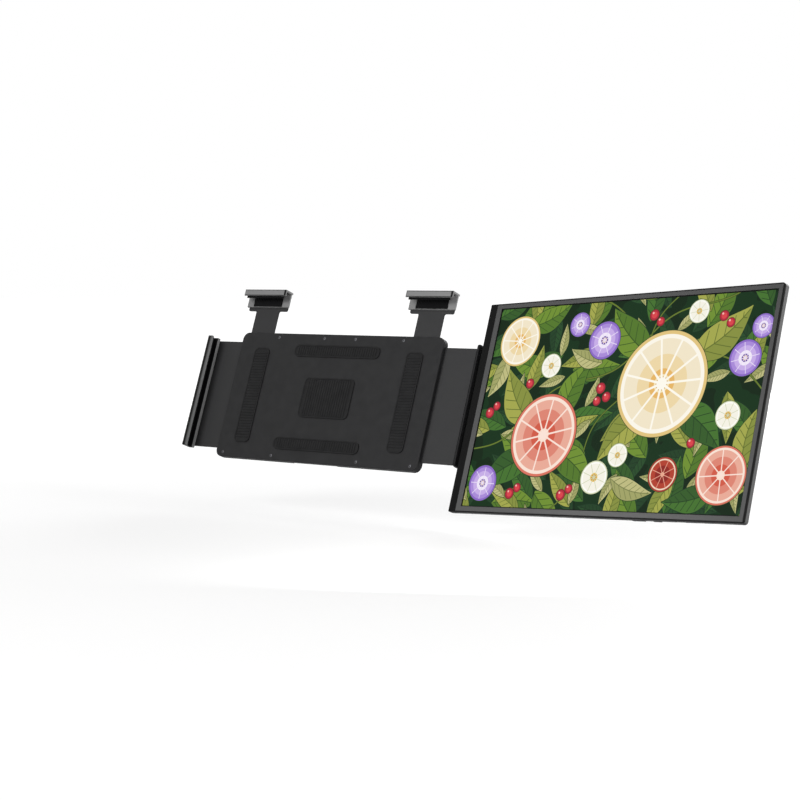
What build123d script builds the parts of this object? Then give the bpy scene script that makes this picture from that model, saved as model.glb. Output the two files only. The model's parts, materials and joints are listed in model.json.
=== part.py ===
from build123d import *
import math
import os

# Clip-on portable monitor: a flat clamp bracket with two geared side arms, two top hooks,
# a fold-out stand, and one 16-inch class screen that swings on a hinge at the right jaw.
# Everything is modelled upright, with X to the right, Y to the back and Z up the bracket.
# The origin is the middle of the grip plane, where the pads meet the panel that is gripped.
# The finished pieces are leaned back together, which is how the part hangs in use.

# Pose in use
LEAN = 20.2
SWING_OUT = 11.04

# Running clearances and fits
SLIDE_GAP = 0.3
PIVOT_GAP = 0.05
KEY_GAP = 0.3
BACKLASH = 0.12

# The panel that the clamp grips
GRIP_THICKNESS = 6.0
GRIP_PLAY = 0.3

# Bracket housing
HOUSING_W = 284.0
HOUSING_H = 148.0
HOUSING_CORNER = 8.0
FRONT_SKIN = 1.4
REAR_SKIN = 1.6
WALL = 2.0
EDGE_ROUND = 2.0
RIB_SET = 3.5
RIB_W = 8.0
RIB_LEAD = 12.0
RAIL_FOOT = 7.0
FELT_W = 18.0
FELT_H = 32.0
FELT_INSET = 26.0
FELT_RISE = 19.5

# Screws and their bosses
SCREW_R = 1.0
SCREW_HEAD_R = 1.9
SCREW_HEAD_H = 0.9
BOSS_R = 2.6
BOSS_INSET = 5.0
BOSS_END_INSET = 10.0
BOSS_TOP_INNER = 22.0
BOSS_BOTTOM_INNER = 60.0
BOSS_FROM_NECK = 11.0

# Grip pads, inset from the housing's edges
PAD_T = 1.0
PAD_CORNER = 6.0
PAD_SIDE_W = 22.0
PAD_SIDE_INSET = 34.0
PAD_SIDE_MARGIN = 18.0
PAD_LONG_W = 120.0
PAD_LONG_H = 14.0
PAD_LONG_INSET = 20.0
PAD_MIDDLE_W = 70.0
PAD_MIDDLE_H = 46.0

# Geared side arms
PLATE_T = 1.8
PLATE_CORNER = 6.0
RACK_T = 1.8
ARM_END = 187.8
ARM_INNER = 64.0
ARM_INSET = 10.5
FLANGE_INSET = 3.5
FLANGE_DEPTH = 5.4
BEND_R = 2.2
LIGHT_SLOT_L = 28.0
LIGHT_SLOT_H = 10.0
LIGHT_SLOT_SET = 30.0
LIGHT_SLOT_RISE = 38.0
PLATE_SCREW_INSET = 15.5
FLANGE_SCREW_INSET = 18.0
MODULE = 1.0
PINION_TEETH = 16
PRESSURE_ANGLE = 20.0
ADDENDUM = 0.95
DEDENDUM = 1.25
RACK_BACK = 6.0
RACK_TIP = 24.0
FLAG_W = 11.5
FLAG_H = 24.0
RIVET_R = 1.25
AXLE_R = 2.0
AXLE_SHOULDER_R = 3.5

# Jaws on the side arms
JAW_OVER = 2.5
JAW_END_ROUND = 1.5
LIP_T = 3.0
LIP_W = 7.2
LIP_ROUND = 2.6
JAW_WALL = 1.9
JAW_BACK_W = 7.6
JAW_ROUND = 3.0
LINER_LIP = 0.6
LINER_WALL = 0.8
LINER_BACK = 0.9
STOP_REACH = 3.0
STOP_SET = 0.5
STOP_WALL = 2.2

# Top hooks
TOP_INSET = 26.0
TOP_PLATE_T = 1.5
TOP_NECK_W = 34.0
TOP_HEAD_W = 58.0
TOP_SHOULDER = 4.0
TOP_REACH = 40.0
TOP_SCREW_X = 20.0
TOP_SCREW_RISE = 6.0
HOOK_W = 62.0
HOOK_RISE = 49.0
HOOK_H = 18.4
HOOK_LIP_H = 7.3
HOOK_ROOF = 1.9
HOOK_ROUND = 1.8
HOOK_LINER_DROP = 2.4
HOOK_LINER_INSET = 3.5
HOOK_LINER_BACK_INSET = 10.0

# Screen hinge
AXIS_X = 195.8
AXIS_Y = 8.0
BARREL_R = 3.6
PIN_R = 2.0
PIN_SEAT = 16.0
WASHER_T = 0.5
WASHER_GAP = 0.2
EAR_H = 9.7
EAR_WEB_X = 0.5
EAR_WEB_W = 2.9
EAR_LEAF_T = 1.8
EAR_LEAF_X = 27.0
EAR_PALM_X = 15.0
EAR_PALM_H = 20.0
EAR_BEND_R = 0.6
EAR_SCREW_RISE = 6.0

# Monitor, in its own frame: X from the hinge axis along the screen, Y back from the axis
MON_X = 2.2
MON_BOTTOM = -114.3
MON_FRONT = -12.5
MON_T = 8.4
MON_CORNER = 3.0
MON_REAR_ROUND = 2.6
SPINE_W = 11.0
SPINE_ROUND = 2.0
BEZEL_T = 1.1
BEZEL_SIDE = 7.0
BEZEL_TOP = 6.4
SHELL_WALL = 1.5
SHELL_REAR = 1.2
SNAP_COUNT = 5
SNAP_W = 8.0
SNAP_T = 0.7
SNAP_REACH = 2.2
SNAP_END = 36.0
ACTIVE_W = 343.6
ACTIVE_H = 209.7
ACTIVE_LEFT = 18.3
ACTIVE_BOTTOM = 7.3
BORDER = 0.9
GASKET_T = 0.2
CELL_T = 1.0
CELL_OVER = 2.2
FILM_T = 0.3
GUIDE_T = 0.9
TRAY_T = 0.3
TRAY_RIM = 0.4

# Electronics of the monitor, insets measured from the case's right edge
BOARD_INSET = 9.1
BOARD_RISE = 6.7
BOARD_W = 124.0
BOARD_H = 45.6
BOARD_T = 0.8
STANDOFF_R = 2.4
USB_INSETS = (51.1, 33.1)
USB_W = 8.94
USB_H = 3.1
USB_L = 7.35
HDMI_INSET = 73.1
HDMI_W = 11.2
PORT_SINK = 0.3
PORT_WALL = 0.3
POWER_INSET = 99.1
POWER_W = 10.0
ROCKER_INSET = 121.1
ROCKER_W = 16.0
ROCKER_PIVOT_R = 0.5
ROCKER_PIVOT_L = 1.2
KEY_H = 2.8
KEY_PROUD = 0.4
KEY_TRAVEL = 0.6
KEY_FLANGE = 0.8
SPEAKER_SIZE = (46.0, 2.7, 13.0)
SPEAKER_FROM_SPINE = 34.8
SPEAKER_FROM_BOARD = 8.0
SPEAKER_SLOTS = 8
SPEAKER_PITCH = 4.5
SPEAKER_SLOT_H = 8.0
SPEAKER_SLOT_W = 1.6
RIBBON_INSET = 10.1
RIBBON_W = 16.0
RIBBON_T = 0.15
RIBBON_BELOW = 10.0
BUMPER_FROM_SPINE = 66.8
BUMPER_INSET = 71.1
BUMPER_Z = 58.0
BUMPER_R = 5.0
BUMPER_T = 0.8

# Chips and connectors as (x, z, width, height), from the board's lower left corner
CHIPS_BEHIND = ((62, 24, 14, 14), (38, 28, 8, 10), (90, 26, 7, 7), (102, 18, 6, 6),
                (18, 24, 6, 8), (80, 36, 5, 9))
CHIPS_AHEAD = ((26, 38, 6, 6), (62, 34, 10, 5), (50, 12, 5, 5))
COILS = ((42, 10), (112, 10))
CHIP_T = 1.0
COIL_R = 2.2
COIL_T = 1.1

# Fold-out stand
LEG_T = 2.2
LEG_W = 62.0
LEG_TIP_W = 48.0
LEG_LENGTH = 93.5
LEG_STRAIGHT = 30.0
LEG_BEND_R = 12.0
LEG_WINDOW_H = 42.0
LEG_WINDOW_EDGE = 9.0
LEG_GAP = 0.2
FLOOR_T = 1.1
STAND_INSET = 5.5
STAND_PIN_R = 0.9
STAND_KNUCKLE_R = 1.75
FOOT_H = 6.0
TONGUE_INSET = 4.0

# Heights and places across the bracket, each from the housing's size
ARM_HALF_H = HOUSING_H / 2 - ARM_INSET
FLANGE_HALF_H = ARM_HALF_H - FLANGE_INSET
JAW_HALF_H = ARM_HALF_H + JAW_OVER
BARREL_HALF_H = JAW_HALF_H - EAR_H - WASHER_T - WASHER_GAP
EAR_Z = BARREL_HALF_H + WASHER_T + WASHER_GAP
STAND_AXIS_Z = STAND_INSET - HOUSING_H / 2
LEG_TOP_Z = STAND_AXIS_Z + LEG_LENGTH
TOP_X = HOUSING_W / 2 - TOP_INSET
TOP_INNER_Z = HOUSING_H / 2 - TOP_REACH
HOOK_TOP = HOUSING_H / 2 + HOOK_RISE
TOP_HEAD_Z = HOOK_TOP - HOOK_H

# Depths through the bracket, each from the one before
SKIN_Y = PAD_T + FRONT_SKIN
RACK_Y = SKIN_Y + SLIDE_GAP
PLATE_Y = RACK_Y + RACK_T + SLIDE_GAP
PLATE_BACK = PLATE_Y + PLATE_T
FLOOR_Y = PLATE_BACK + SLIDE_GAP
FLOOR_BACK = FLOOR_Y + FLOOR_T
LEG_Y = FLOOR_BACK + LEG_GAP
REAR_Y = LEG_Y + LEG_T + LEG_GAP
REAR_SKIN_Y = REAR_Y - REAR_SKIN
SPLIT_Y = PLATE_Y - SLIDE_GAP / 2
STAND_AXIS_Y = REAR_Y - STAND_KNUCKLE_R - LEG_GAP / 2
LIP_INNER_Y = -(GRIP_THICKNESS + GRIP_PLAY + LINER_LIP)
LIP_FRONT_Y = LIP_INNER_Y - LIP_T

# Places shared by the monitor's pieces
ACTIVE_X = MON_X + ACTIVE_LEFT
ACTIVE_Z = MON_BOTTOM + ACTIVE_BOTTOM
MON_RIGHT = ACTIVE_X + ACTIVE_W + BEZEL_SIDE
MON_TOP = ACTIVE_Z + ACTIVE_H + BEZEL_TOP
MON_REAR = MON_FRONT + MON_T
SPINE_END = MON_X + SPINE_W
BEZEL_BACK = MON_FRONT + BEZEL_T
REAR_INNER = MON_REAR - SHELL_REAR
CELL_Y = BEZEL_BACK + GASKET_T
FILM_Y = CELL_Y + CELL_T
GUIDE_Y = FILM_Y + FILM_T
TRAY_Y = GUIDE_Y + GUIDE_T
TRAY_BACK = TRAY_Y + TRAY_T

# Places of the electronics, in the middle of the space behind the tray
PORT_Y = (TRAY_BACK + REAR_INNER) / 2
PORT_TOP = MON_BOTTOM + PORT_SINK + USB_L
BOARD_X = (MON_RIGHT - BOARD_INSET - BOARD_W, MON_RIGHT - BOARD_INSET)
BOARD_Z = (MON_BOTTOM + BOARD_RISE, MON_BOTTOM + BOARD_RISE + BOARD_H)
USB_X = [MON_RIGHT - inset for inset in USB_INSETS]
HDMI_X = MON_RIGHT - HDMI_INSET
POWER_X = MON_RIGHT - POWER_INSET
ROCKER_X = MON_RIGHT - ROCKER_INSET
KEY_BACK = MON_BOTTOM + SHELL_WALL + 2 * KEY_GAP + KEY_FLANGE
SPEAKER_X = (SPINE_END + SPEAKER_FROM_SPINE, BOARD_X[0] - SPEAKER_FROM_BOARD - SPEAKER_SIZE[0])
SPEAKER_Z = MON_BOTTOM + 2 * SHELL_WALL + SPEAKER_SIZE[2] / 2
RIBBON_X = (MON_RIGHT - RIBBON_INSET - RIBBON_W, MON_RIGHT - RIBBON_INSET)
RIBBON_TOP = BOARD_Z[1] - RIBBON_BELOW
BUMPER_X = (SPINE_END + BUMPER_FROM_SPINE, MON_RIGHT - BUMPER_INSET)


def block(x, y, z):
    """Box that fills the (low, high) pairs along each axis."""
    centre = Pos((x[0] + x[1]) / 2, (y[0] + y[1]) / 2, (z[0] + z[1]) / 2)
    return centre * Box(x[1] - x[0], y[1] - y[0], z[1] - z[0])


def outline(*corners):
    """Closed face through (u, v, radius) corners."""
    points = [(u, v) for u, v, radius in corners]
    radii = [radius for u, v, radius in corners]
    return make_face(FilletPolyline(*points, radius=radii, close=True))


def along_x(face, low, high):
    """Extrude a Y-Z face between two X places."""
    return extrude(Plane.YZ.offset(low) * face, high - low, dir=(1, 0, 0))


def along_y(face, low, high):
    """Extrude an X-Z face between two Y places."""
    return extrude(Plane.XZ.offset(-low) * face, high - low, dir=(0, 1, 0))


def along_z(face, low, high):
    """Extrude an X-Y face between two Z places."""
    return extrude(Pos(0, 0, low) * face, high - low, dir=(0, 0, 1))


def rod_x(radius, low, high, y, z):
    return along_x(Pos(y, z) * Circle(radius), low, high)


def rod_y(radius, low, high, x, z):
    return along_y(Pos(x, z) * Circle(radius), low, high)


def rod_z(radius, low, high, x, y):
    return along_z(Pos(x, y) * Circle(radius), low, high)


def group(solids):
    """Several separate solids kept as one node."""
    return Compound([solid for shape in solids for solid in shape.solids()])


def screw(length, head_r=SCREW_HEAD_R, head_h=SCREW_HEAD_H):
    """Countersunk screw, head face at the origin, shank towards +Z."""
    head = Pos(0, 0, head_h / 2) * Cone(head_r, SCREW_R, head_h)
    shank = Pos(0, 0, (head_h + length) / 2) * Cylinder(SCREW_R, length - head_h)
    return head + shank


def facing(x, y, z, direction):
    """Place whose Z axis points along the given direction."""
    return Plane(origin=(x, y, z), z_dir=direction)


def boss_places():
    """Screw places of the housing as (x, z), above and below the sliding plates."""
    reach = HOUSING_H / 2 - BOSS_INSET
    top = (TOP_X - TOP_NECK_W / 2 - BOSS_FROM_NECK, BOSS_TOP_INNER)
    bottom = (HOUSING_W / 2 - BOSS_END_INSET, BOSS_BOTTOM_INNER)
    return [(side * x, reach) for side in (-1, 1) for x in top] + [
        (side * x, -reach) for side in (-1, 1) for x in bottom]


def between(side, near, far):
    """Ordered X pair from the middle outwards on the given side."""
    return sorted((side * near, side * far))


def top_slot_half():
    return TOP_NECK_W / 2 + SLIDE_GAP * 2


# Bracket housing

def bracket_front():
    """Front tray: skin on the grip side, rim, ribs and the top hooks' channels."""
    inner_w = HOUSING_W - 2 * WALL
    inner_h = HOUSING_H - 2 * WALL
    tray = along_y(RectangleRounded(HOUSING_W, HOUSING_H, HOUSING_CORNER), PAD_T, SPLIT_Y)
    tray = fillet(tray.faces().sort_by(Axis.Y)[0].edges(), FRONT_SKIN / 2)
    hollow = RectangleRounded(inner_w, inner_h, HOUSING_CORNER - WALL)
    tray -= along_y(hollow, SKIN_Y, SPLIT_Y)
    rib = (SKIN_Y, RACK_Y + RACK_T)
    rib_high = ARM_HALF_H - RIB_SET
    rib_low = rib_high - RIB_W
    near = ARM_INNER - RIB_LEAD
    guide_x = TOP_X - top_slot_half()
    for side in (-1, 1):
        tray += block(between(side, near, inner_w / 2), rib, (-rib_high, -rib_low))
        tray += block(between(side, near, guide_x - WALL), rib, (rib_low, rib_high))
        tray += block(between(side, guide_x - WALL + SLIDE_GAP, guide_x), rib,
                      (TOP_INNER_Z + WALL, inner_h / 2))
        tray -= block(between(side, guide_x, TOP_X + top_slot_half()), (SKIN_Y, SPLIT_Y),
                      (inner_h / 2 - WALL, HOUSING_H / 2 + 1))
    for x, z in boss_places():
        tray -= facing(x, PAD_T, z, (0, 1, 0)) * screw(FRONT_SKIN + 1)
    tray -= rod_y(AXLE_R, SKIN_Y - FRONT_SKIN / 2, SKIN_Y, 0, 0)
    return tray


def bracket_rear():
    """Rear cover: skin, rim, screw bosses, arm slots and the stand's recess."""
    inner_w = HOUSING_W - 2 * WALL
    inner_h = HOUSING_H - 2 * WALL
    cover = along_y(RectangleRounded(HOUSING_W, HOUSING_H, HOUSING_CORNER), SPLIT_Y, REAR_Y)
    cover = fillet(cover.faces().sort_by(Axis.Y)[-1].edges(), EDGE_ROUND)
    hollow = RectangleRounded(inner_w, inner_h, HOUSING_CORNER - WALL)
    cover -= along_y(hollow, SPLIT_Y, REAR_SKIN_Y)
    for x, z in boss_places():
        cover += rod_y(BOSS_R, SKIN_Y, REAR_SKIN_Y, x, z)
        cover -= rod_y(SCREW_R, SKIN_Y, REAR_SKIN_Y - WALL, x, z)
    recess = LEG_W / 2 + LEG_GAP + SLIDE_GAP
    recess_top = LEG_TOP_Z + SLIDE_GAP * 2
    floor = block((-recess - WALL, recess + WALL), (FLOOR_Y, REAR_SKIN_Y),
                  (-inner_h / 2, recess_top + WALL))
    hinge_top = STAND_AXIS_Z + STAND_KNUCKLE_R + LEG_GAP
    hinge_half = recess + 3 * WALL
    hinge_depth = STAND_AXIS_Y - STAND_KNUCKLE_R - LEG_GAP / 2
    hinge_block = block((-hinge_half, hinge_half), (hinge_depth - FLOOR_T, REAR_SKIN_Y),
                        (-inner_h / 2, -ARM_HALF_H - SLIDE_GAP * 2))
    cover += floor
    cover += hinge_block
    cover -= block((-recess, recess), (FLOOR_BACK, REAR_Y + 1), (-HOUSING_H, recess_top))
    cover -= block((-recess, recess), (hinge_depth, REAR_Y), (-HOUSING_H, hinge_top))
    notch = Pos(0, REAR_Y + LEG_T, recess_top) * Sphere(LEG_T * 5)
    cover -= notch & block((-recess, recess), (FLOOR_BACK, REAR_Y + 1),
                           (recess_top - WALL, HOUSING_H / 2))
    cover -= rod_x(STAND_PIN_R, -hinge_half + WALL, hinge_half - WALL, STAND_AXIS_Y, STAND_AXIS_Z)
    slot_half = ARM_HALF_H + SLIDE_GAP
    for side in (-1, 1):
        wall = between(side, inner_w / 2 - SLIDE_GAP, HOUSING_W / 2 + 1)
        cover -= block(wall, (SPLIT_Y, FLOOR_Y), (-slot_half, slot_half))
    cover -= rod_y(AXLE_R, FLOOR_Y, FLOOR_Y + FLOOR_T / 2, 0, 0)
    return cover


def grip_pads():
    """Five soft pads on the tray's face."""
    faces = [RectangleRounded(PAD_MIDDLE_W, PAD_MIDDLE_H, PAD_CORNER)]
    tall = HOUSING_H - 2 * PAD_SIDE_MARGIN
    for side in (-1, 1):
        x = side * (HOUSING_W / 2 - PAD_SIDE_INSET)
        z = side * (HOUSING_H / 2 - PAD_LONG_INSET)
        faces.append(Pos(x, 0) * RectangleRounded(PAD_SIDE_W, tall, PAD_CORNER))
        faces.append(Pos(0, z) * RectangleRounded(PAD_LONG_W, PAD_LONG_H, PAD_CORNER))
    return group([along_y(face, 0, PAD_T) for face in faces])


def slide_rails():
    """Four slippery L-rails that guide the side plates' edges."""
    edge = ARM_HALF_H + SLIDE_GAP
    foot = edge - RAIL_FOOT
    rail = outline((SPLIT_Y, edge, 0), (SPLIT_Y, edge + WALL, 0), (REAR_SKIN_Y, edge + WALL, 0),
                   (REAR_SKIN_Y, foot, 0), (FLOOR_Y, foot, 0), (FLOOR_Y, edge, 0))
    far = HOUSING_W / 2 - WALL - HOUSING_CORNER / 2
    right = along_x(rail, ARM_INNER - RIB_LEAD - WALL, far)
    rails = [right, mirror(right, Plane.YZ)]
    rails += [mirror(piece, Plane.XY) for piece in rails]
    return group(rails)


def pinion_axle():
    """Stepped axle pressed into the tray and the stand recess's floor."""
    gear_back = RACK_Y + RACK_T + SLIDE_GAP / 3
    axle = rod_y(AXLE_R, SKIN_Y - FRONT_SKIN / 2, FLOOR_Y + FLOOR_T / 2, 0, 0)
    return axle + rod_y(AXLE_SHOULDER_R, gear_back, FLOOR_Y, 0, 0)


def friction_pads():
    """Felt blocks that press on the side plates from behind."""
    depth = (PLATE_BACK + SLIDE_GAP / 2, REAR_SKIN_Y)
    middle = HOUSING_W / 2 - FELT_INSET
    low = FELT_RISE - ARM_HALF_H
    return group([block(between(side, middle - FELT_W / 2, middle + FELT_W / 2), depth,
                        (low, low + FELT_H)) for side in (-1, 1)])


def bracket_screws():
    length = REAR_SKIN_Y - WALL - PAD_T
    return group([facing(x, PAD_T, z, (0, 1, 0)) * screw(length) for x, z in boss_places()])


def stand_pin():
    half = LEG_W / 2 + LEG_GAP + SLIDE_GAP + 2 * WALL
    return rod_x(STAND_PIN_R, -half, half, STAND_AXIS_Y, STAND_AXIS_Z)


# Geared side arms, modelled on the left and turned half a turn about Y for the right

def pinion():
    """Sixteen-tooth involute pinion on the middle axle."""
    pitch_r = MODULE * PINION_TEETH / 2
    base_r = pitch_r * math.cos(math.radians(PRESSURE_ANGLE))
    outer_r = pitch_r + MODULE * ADDENDUM
    root_r = pitch_r - MODULE * DEDENDUM

    def involute(radius):
        angle = math.acos(min(1.0, base_r / radius))
        return math.tan(angle) - angle

    half_tooth = (math.pi * MODULE / 2 - BACKLASH) / 2 / pitch_r + involute(pitch_r)
    steps = 4
    radii = [base_r + (outer_r - base_r) * step / (steps - 1) for step in range(steps)]
    points = []
    for tooth in range(PINION_TEETH):
        centre = 2 * math.pi * tooth / PINION_TEETH
        flank = [(root_r, half_tooth)] + [(r, half_tooth - involute(r)) for r in radii]
        turned = [(r, centre - angle) for r, angle in flank]
        turned += [(r, centre + angle) for r, angle in reversed(flank)]
        points += [(r * math.cos(angle), r * math.sin(angle)) for r, angle in turned]
    gear = make_face(Polyline(*points, close=True))
    gear -= Circle(AXLE_R + PIVOT_GAP)
    return along_y(gear, RACK_Y, RACK_Y + RACK_T)


def left_rack():
    """Rack above the pinion, teeth down, with a flag riveted to the left plate."""
    pitch = math.pi * MODULE
    pitch_z = MODULE * PINION_TEETH / 2
    tip_z = pitch_z - MODULE * ADDENDUM
    root_z = pitch_z + MODULE * DEDENDUM
    slope = math.tan(math.radians(PRESSURE_ANGLE))
    half = (pitch / 2 - BACKLASH) / 2
    tip_half = half - MODULE * ADDENDUM * slope
    root_half = half + MODULE * DEDENDUM * slope
    points = [(RACK_TIP, root_z + RACK_BACK), (RACK_TIP, root_z)]
    first = math.floor(RACK_TIP / pitch - 0.5)
    last = -math.floor(ARM_INNER / pitch - 0.5)
    for number in range(first, last, -1):
        centre = (number + 0.5) * pitch - pitch
        points += [(centre + root_half, root_z), (centre + tip_half, tip_z)]
        points += [(centre - tip_half, tip_z), (centre - root_half, root_z)]
    points += [(-ARM_INNER, root_z), (-ARM_INNER - FLAG_W, root_z)]
    points += [(-ARM_INNER - FLAG_W, root_z + RACK_BACK)]
    rack = along_y(make_face(Polyline(*points, close=True)), RACK_Y, RACK_Y + RACK_T)
    flag = block((-ARM_INNER - FLAG_W, -ARM_INNER - SLIDE_GAP), (RACK_Y, PLATE_Y),
                 (root_z, root_z + FLAG_H))
    rack += flag
    for x, z in rivet_places():
        rack -= rod_y(RIVET_R, RACK_Y, PLATE_Y, x, z)
    return rack


def rivet_places():
    """Rivets that hold the left rack's flag, as (x, z)."""
    x = -ARM_INNER - FLAG_W / 2
    root_z = MODULE * PINION_TEETH / 2 + MODULE * DEDENDUM
    return [(x, root_z + FLAG_H * share) for share in (0.4, 0.8)]


def left_rack_rivets():
    return group([rod_y(RIVET_R, RACK_Y, PLATE_BACK, x, z) for x, z in rivet_places()])


def lightened(plate, side):
    """Cut the slots that lighten a side plate inside the housing, and its rivet holes."""
    for z in (-LIGHT_SLOT_RISE, 0, LIGHT_SLOT_RISE):
        slot = Pos(side * (ARM_INNER + LIGHT_SLOT_SET), z) * SlotOverall(LIGHT_SLOT_L, LIGHT_SLOT_H)
        plate -= along_y(slot, PLATE_Y, PLATE_BACK)
    for x, z in rivet_places():
        plate -= rod_y(RIVET_R, PLATE_Y, PLATE_BACK, -side * x, -side * z)
    return plate


def left_screw_places():
    """Screws through the plate into the left jaw's back, as (x, z)."""
    x = -ARM_END + (JAW_WALL + JAW_BACK_W) / 2
    rise = ARM_HALF_H - PLATE_SCREW_INSET
    return [(x, z) for z in (-rise, 0, rise)]


def left_arm_plate():
    """Flat steel plate that carries the left jaw."""
    outer = PLATE_CORNER / 3
    plate = along_y(outline((-ARM_END, -ARM_HALF_H, outer), (-ARM_INNER, -ARM_HALF_H, PLATE_CORNER),
                            (-ARM_INNER, ARM_HALF_H, PLATE_CORNER), (-ARM_END, ARM_HALF_H, outer)),
                    PLATE_Y, PLATE_BACK)
    plate = lightened(plate, -1)
    for x, z in left_screw_places():
        plate -= facing(x, PLATE_BACK, z, (0, -1, 0)) * screw(PLATE_T + 1)
    return plate


def right_arm_plate():
    """Steel plate with its end bent back into the flange that holds the right jaw."""
    flange_back = PLATE_Y + FLANGE_DEPTH
    bend = outline((ARM_INNER, PLATE_Y, 0), (ARM_END, PLATE_Y, BEND_R), (ARM_END, flange_back, 0),
                   (ARM_END - PLATE_T, flange_back, 0),
                   (ARM_END - PLATE_T, PLATE_BACK, BEND_R - PLATE_T), (ARM_INNER, PLATE_BACK, 0))
    plate = along_z(bend, -ARM_HALF_H, ARM_HALF_H)
    plate = fillet(plate.edges().filter_by(Axis.Y).group_by(Axis.X)[0], PLATE_CORNER)
    beside = (ARM_END - PLATE_T - 1, ARM_END + 1)
    for side in (-1, 1):
        end = between(side, FLANGE_HALF_H, ARM_HALF_H + 1)
        plate -= block(beside, (PLATE_Y + BEND_R, flange_back + 1), end)
    plate = lightened(plate, 1)
    for y, z in right_screw_places():
        plate -= facing(ARM_END - PLATE_T, y, z, (1, 0, 0)) * screw(PLATE_T + 1)
    return plate


def jaw_bar(section, front, back):
    """Jaw of the given X-Y section, its two ends rounded towards the front in side view."""
    side = outline((front, -JAW_HALF_H, JAW_END_ROUND), (front, JAW_HALF_H, JAW_END_ROUND),
                   (back, JAW_HALF_H, 0), (back, -JAW_HALF_H, 0))
    reach = ARM_END + HOUSING_CORNER
    return along_z(section, -JAW_HALF_H, JAW_HALF_H) & along_x(side, -reach, reach)


def left_jaw():
    """Channel jaw: rounded front lip, thin outer wall, and a back that sits on the plate."""
    outer = -ARM_END
    inner_x = outer + JAW_WALL
    lip_end = outer + LIP_W
    section = outline((outer, PLATE_Y, JAW_ROUND / 2), (outer, LIP_FRONT_Y, JAW_ROUND),
                      (lip_end, LIP_FRONT_Y, LIP_ROUND), (lip_end, LIP_INNER_Y, 0),
                      (inner_x, LIP_INNER_Y, 0), (inner_x, LINER_BACK, 0),
                      (outer + JAW_BACK_W, LINER_BACK, 0.5), (outer + JAW_BACK_W, PLATE_Y, 0))
    jaw = jaw_bar(section, LIP_FRONT_Y, PLATE_Y)
    for x, z in left_screw_places():
        jaw -= rod_y(SCREW_R, LINER_BACK + 1, PLATE_Y, x, z)
    return jaw


def left_jaw_liner():
    """Soft U-shaped lining of the left channel."""
    wall_x = -ARM_END + JAW_WALL
    lip_end = -ARM_END + LIP_W
    section = outline((wall_x, LIP_INNER_Y, 0), (lip_end, LIP_INNER_Y, 0),
                      (lip_end, LIP_INNER_Y + LINER_LIP, 0),
                      (wall_x + LINER_WALL, LIP_INNER_Y + LINER_LIP, 0),
                      (wall_x + LINER_WALL, 0, 0), (-ARM_END + JAW_BACK_W, 0, 0),
                      (-ARM_END + JAW_BACK_W, LINER_BACK - 0.5, 0), (lip_end, LINER_BACK, 0),
                      (wall_x, LINER_BACK, 0))
    return along_z(section, -JAW_HALF_H + 1, JAW_HALF_H - 1)


def left_jaw_screws():
    length = PLATE_BACK - LINER_BACK - 1
    return group([facing(x, PLATE_BACK, z, (0, -1, 0)) * screw(length)
                  for x, z in left_screw_places()])


def right_screw_places():
    """Screws through the flange into the right jaw, as (y, z)."""
    rise = FLANGE_HALF_H - FLANGE_SCREW_INSET
    return [(AXIS_Y, z) for z in (-rise, 0, rise)]


def right_jaw():
    """Stop block with the hinge barrel: the wall stands on the flange of the right plate."""
    stop_x = ARM_END + STOP_SET + LINER_WALL
    wall_x = stop_x + STOP_WALL
    wall_back = PLATE_Y + FLANGE_DEPTH + 0.4
    section = outline((ARM_END, LINER_BACK, 0), (stop_x, LINER_BACK, 0), (stop_x, -STOP_REACH, 0.4),
                      (wall_x, -STOP_REACH, 0.9), (wall_x, wall_back, 1.0), (ARM_END, wall_back, 0))
    jaw = jaw_bar(section, -STOP_REACH, wall_back)
    web = outline((wall_x - 1, AXIS_Y - 2.4, 0), (AXIS_X, AXIS_Y - BARREL_R, 0),
                  (AXIS_X, AXIS_Y + BARREL_R, 0), (wall_x - 1, AXIS_Y + 2.2, 0))
    jaw += along_z(web, -BARREL_HALF_H, BARREL_HALF_H)
    jaw += rod_z(BARREL_R, -BARREL_HALF_H, BARREL_HALF_H, AXIS_X, AXIS_Y)
    for side in (-1, 1):
        seat = between(side, BARREL_HALF_H - PIN_SEAT, BARREL_HALF_H)
        jaw -= rod_z(PIN_R, seat[0], seat[1], AXIS_X, AXIS_Y)
    for y, z in right_screw_places():
        jaw -= rod_x(SCREW_R, ARM_END, wall_x - 1, y, z)
    return jaw


def right_jaw_liner():
    stop_x = ARM_END + STOP_SET
    return block((stop_x, stop_x + LINER_WALL), (-STOP_REACH + 0.4, LINER_BACK),
                 (-JAW_HALF_H + 1, JAW_HALF_H - 1))


def right_jaw_screws():
    length = PLATE_T + STOP_SET + LINER_WALL + STOP_WALL - 1
    return group([facing(ARM_END - PLATE_T, y, z, (1, 0, 0)) * screw(length)
                  for y, z in right_screw_places()])


def hinge_pins():
    """Two steel pins pressed into the barrel's ends."""
    low = BARREL_HALF_H - PIN_SEAT
    upper = rod_z(PIN_R, low, EAR_Z + EAR_H, AXIS_X, AXIS_Y)
    return group([upper, mirror(upper, Plane.XY)])


def hinge_washers():
    """Friction washers between the barrel and the ears."""
    ring = Pos(AXIS_X, AXIS_Y) * (Circle(BARREL_R - 0.2) - Circle(PIN_R))
    upper = along_z(ring, BARREL_HALF_H, BARREL_HALF_H + WASHER_T)
    return group([upper, mirror(upper, Plane.XY)])


# Top hooks

def top_screw_places(x):
    return [(x + offset, TOP_HEAD_Z + TOP_SCREW_RISE) for offset in (-TOP_SCREW_X, TOP_SCREW_X)]


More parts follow.
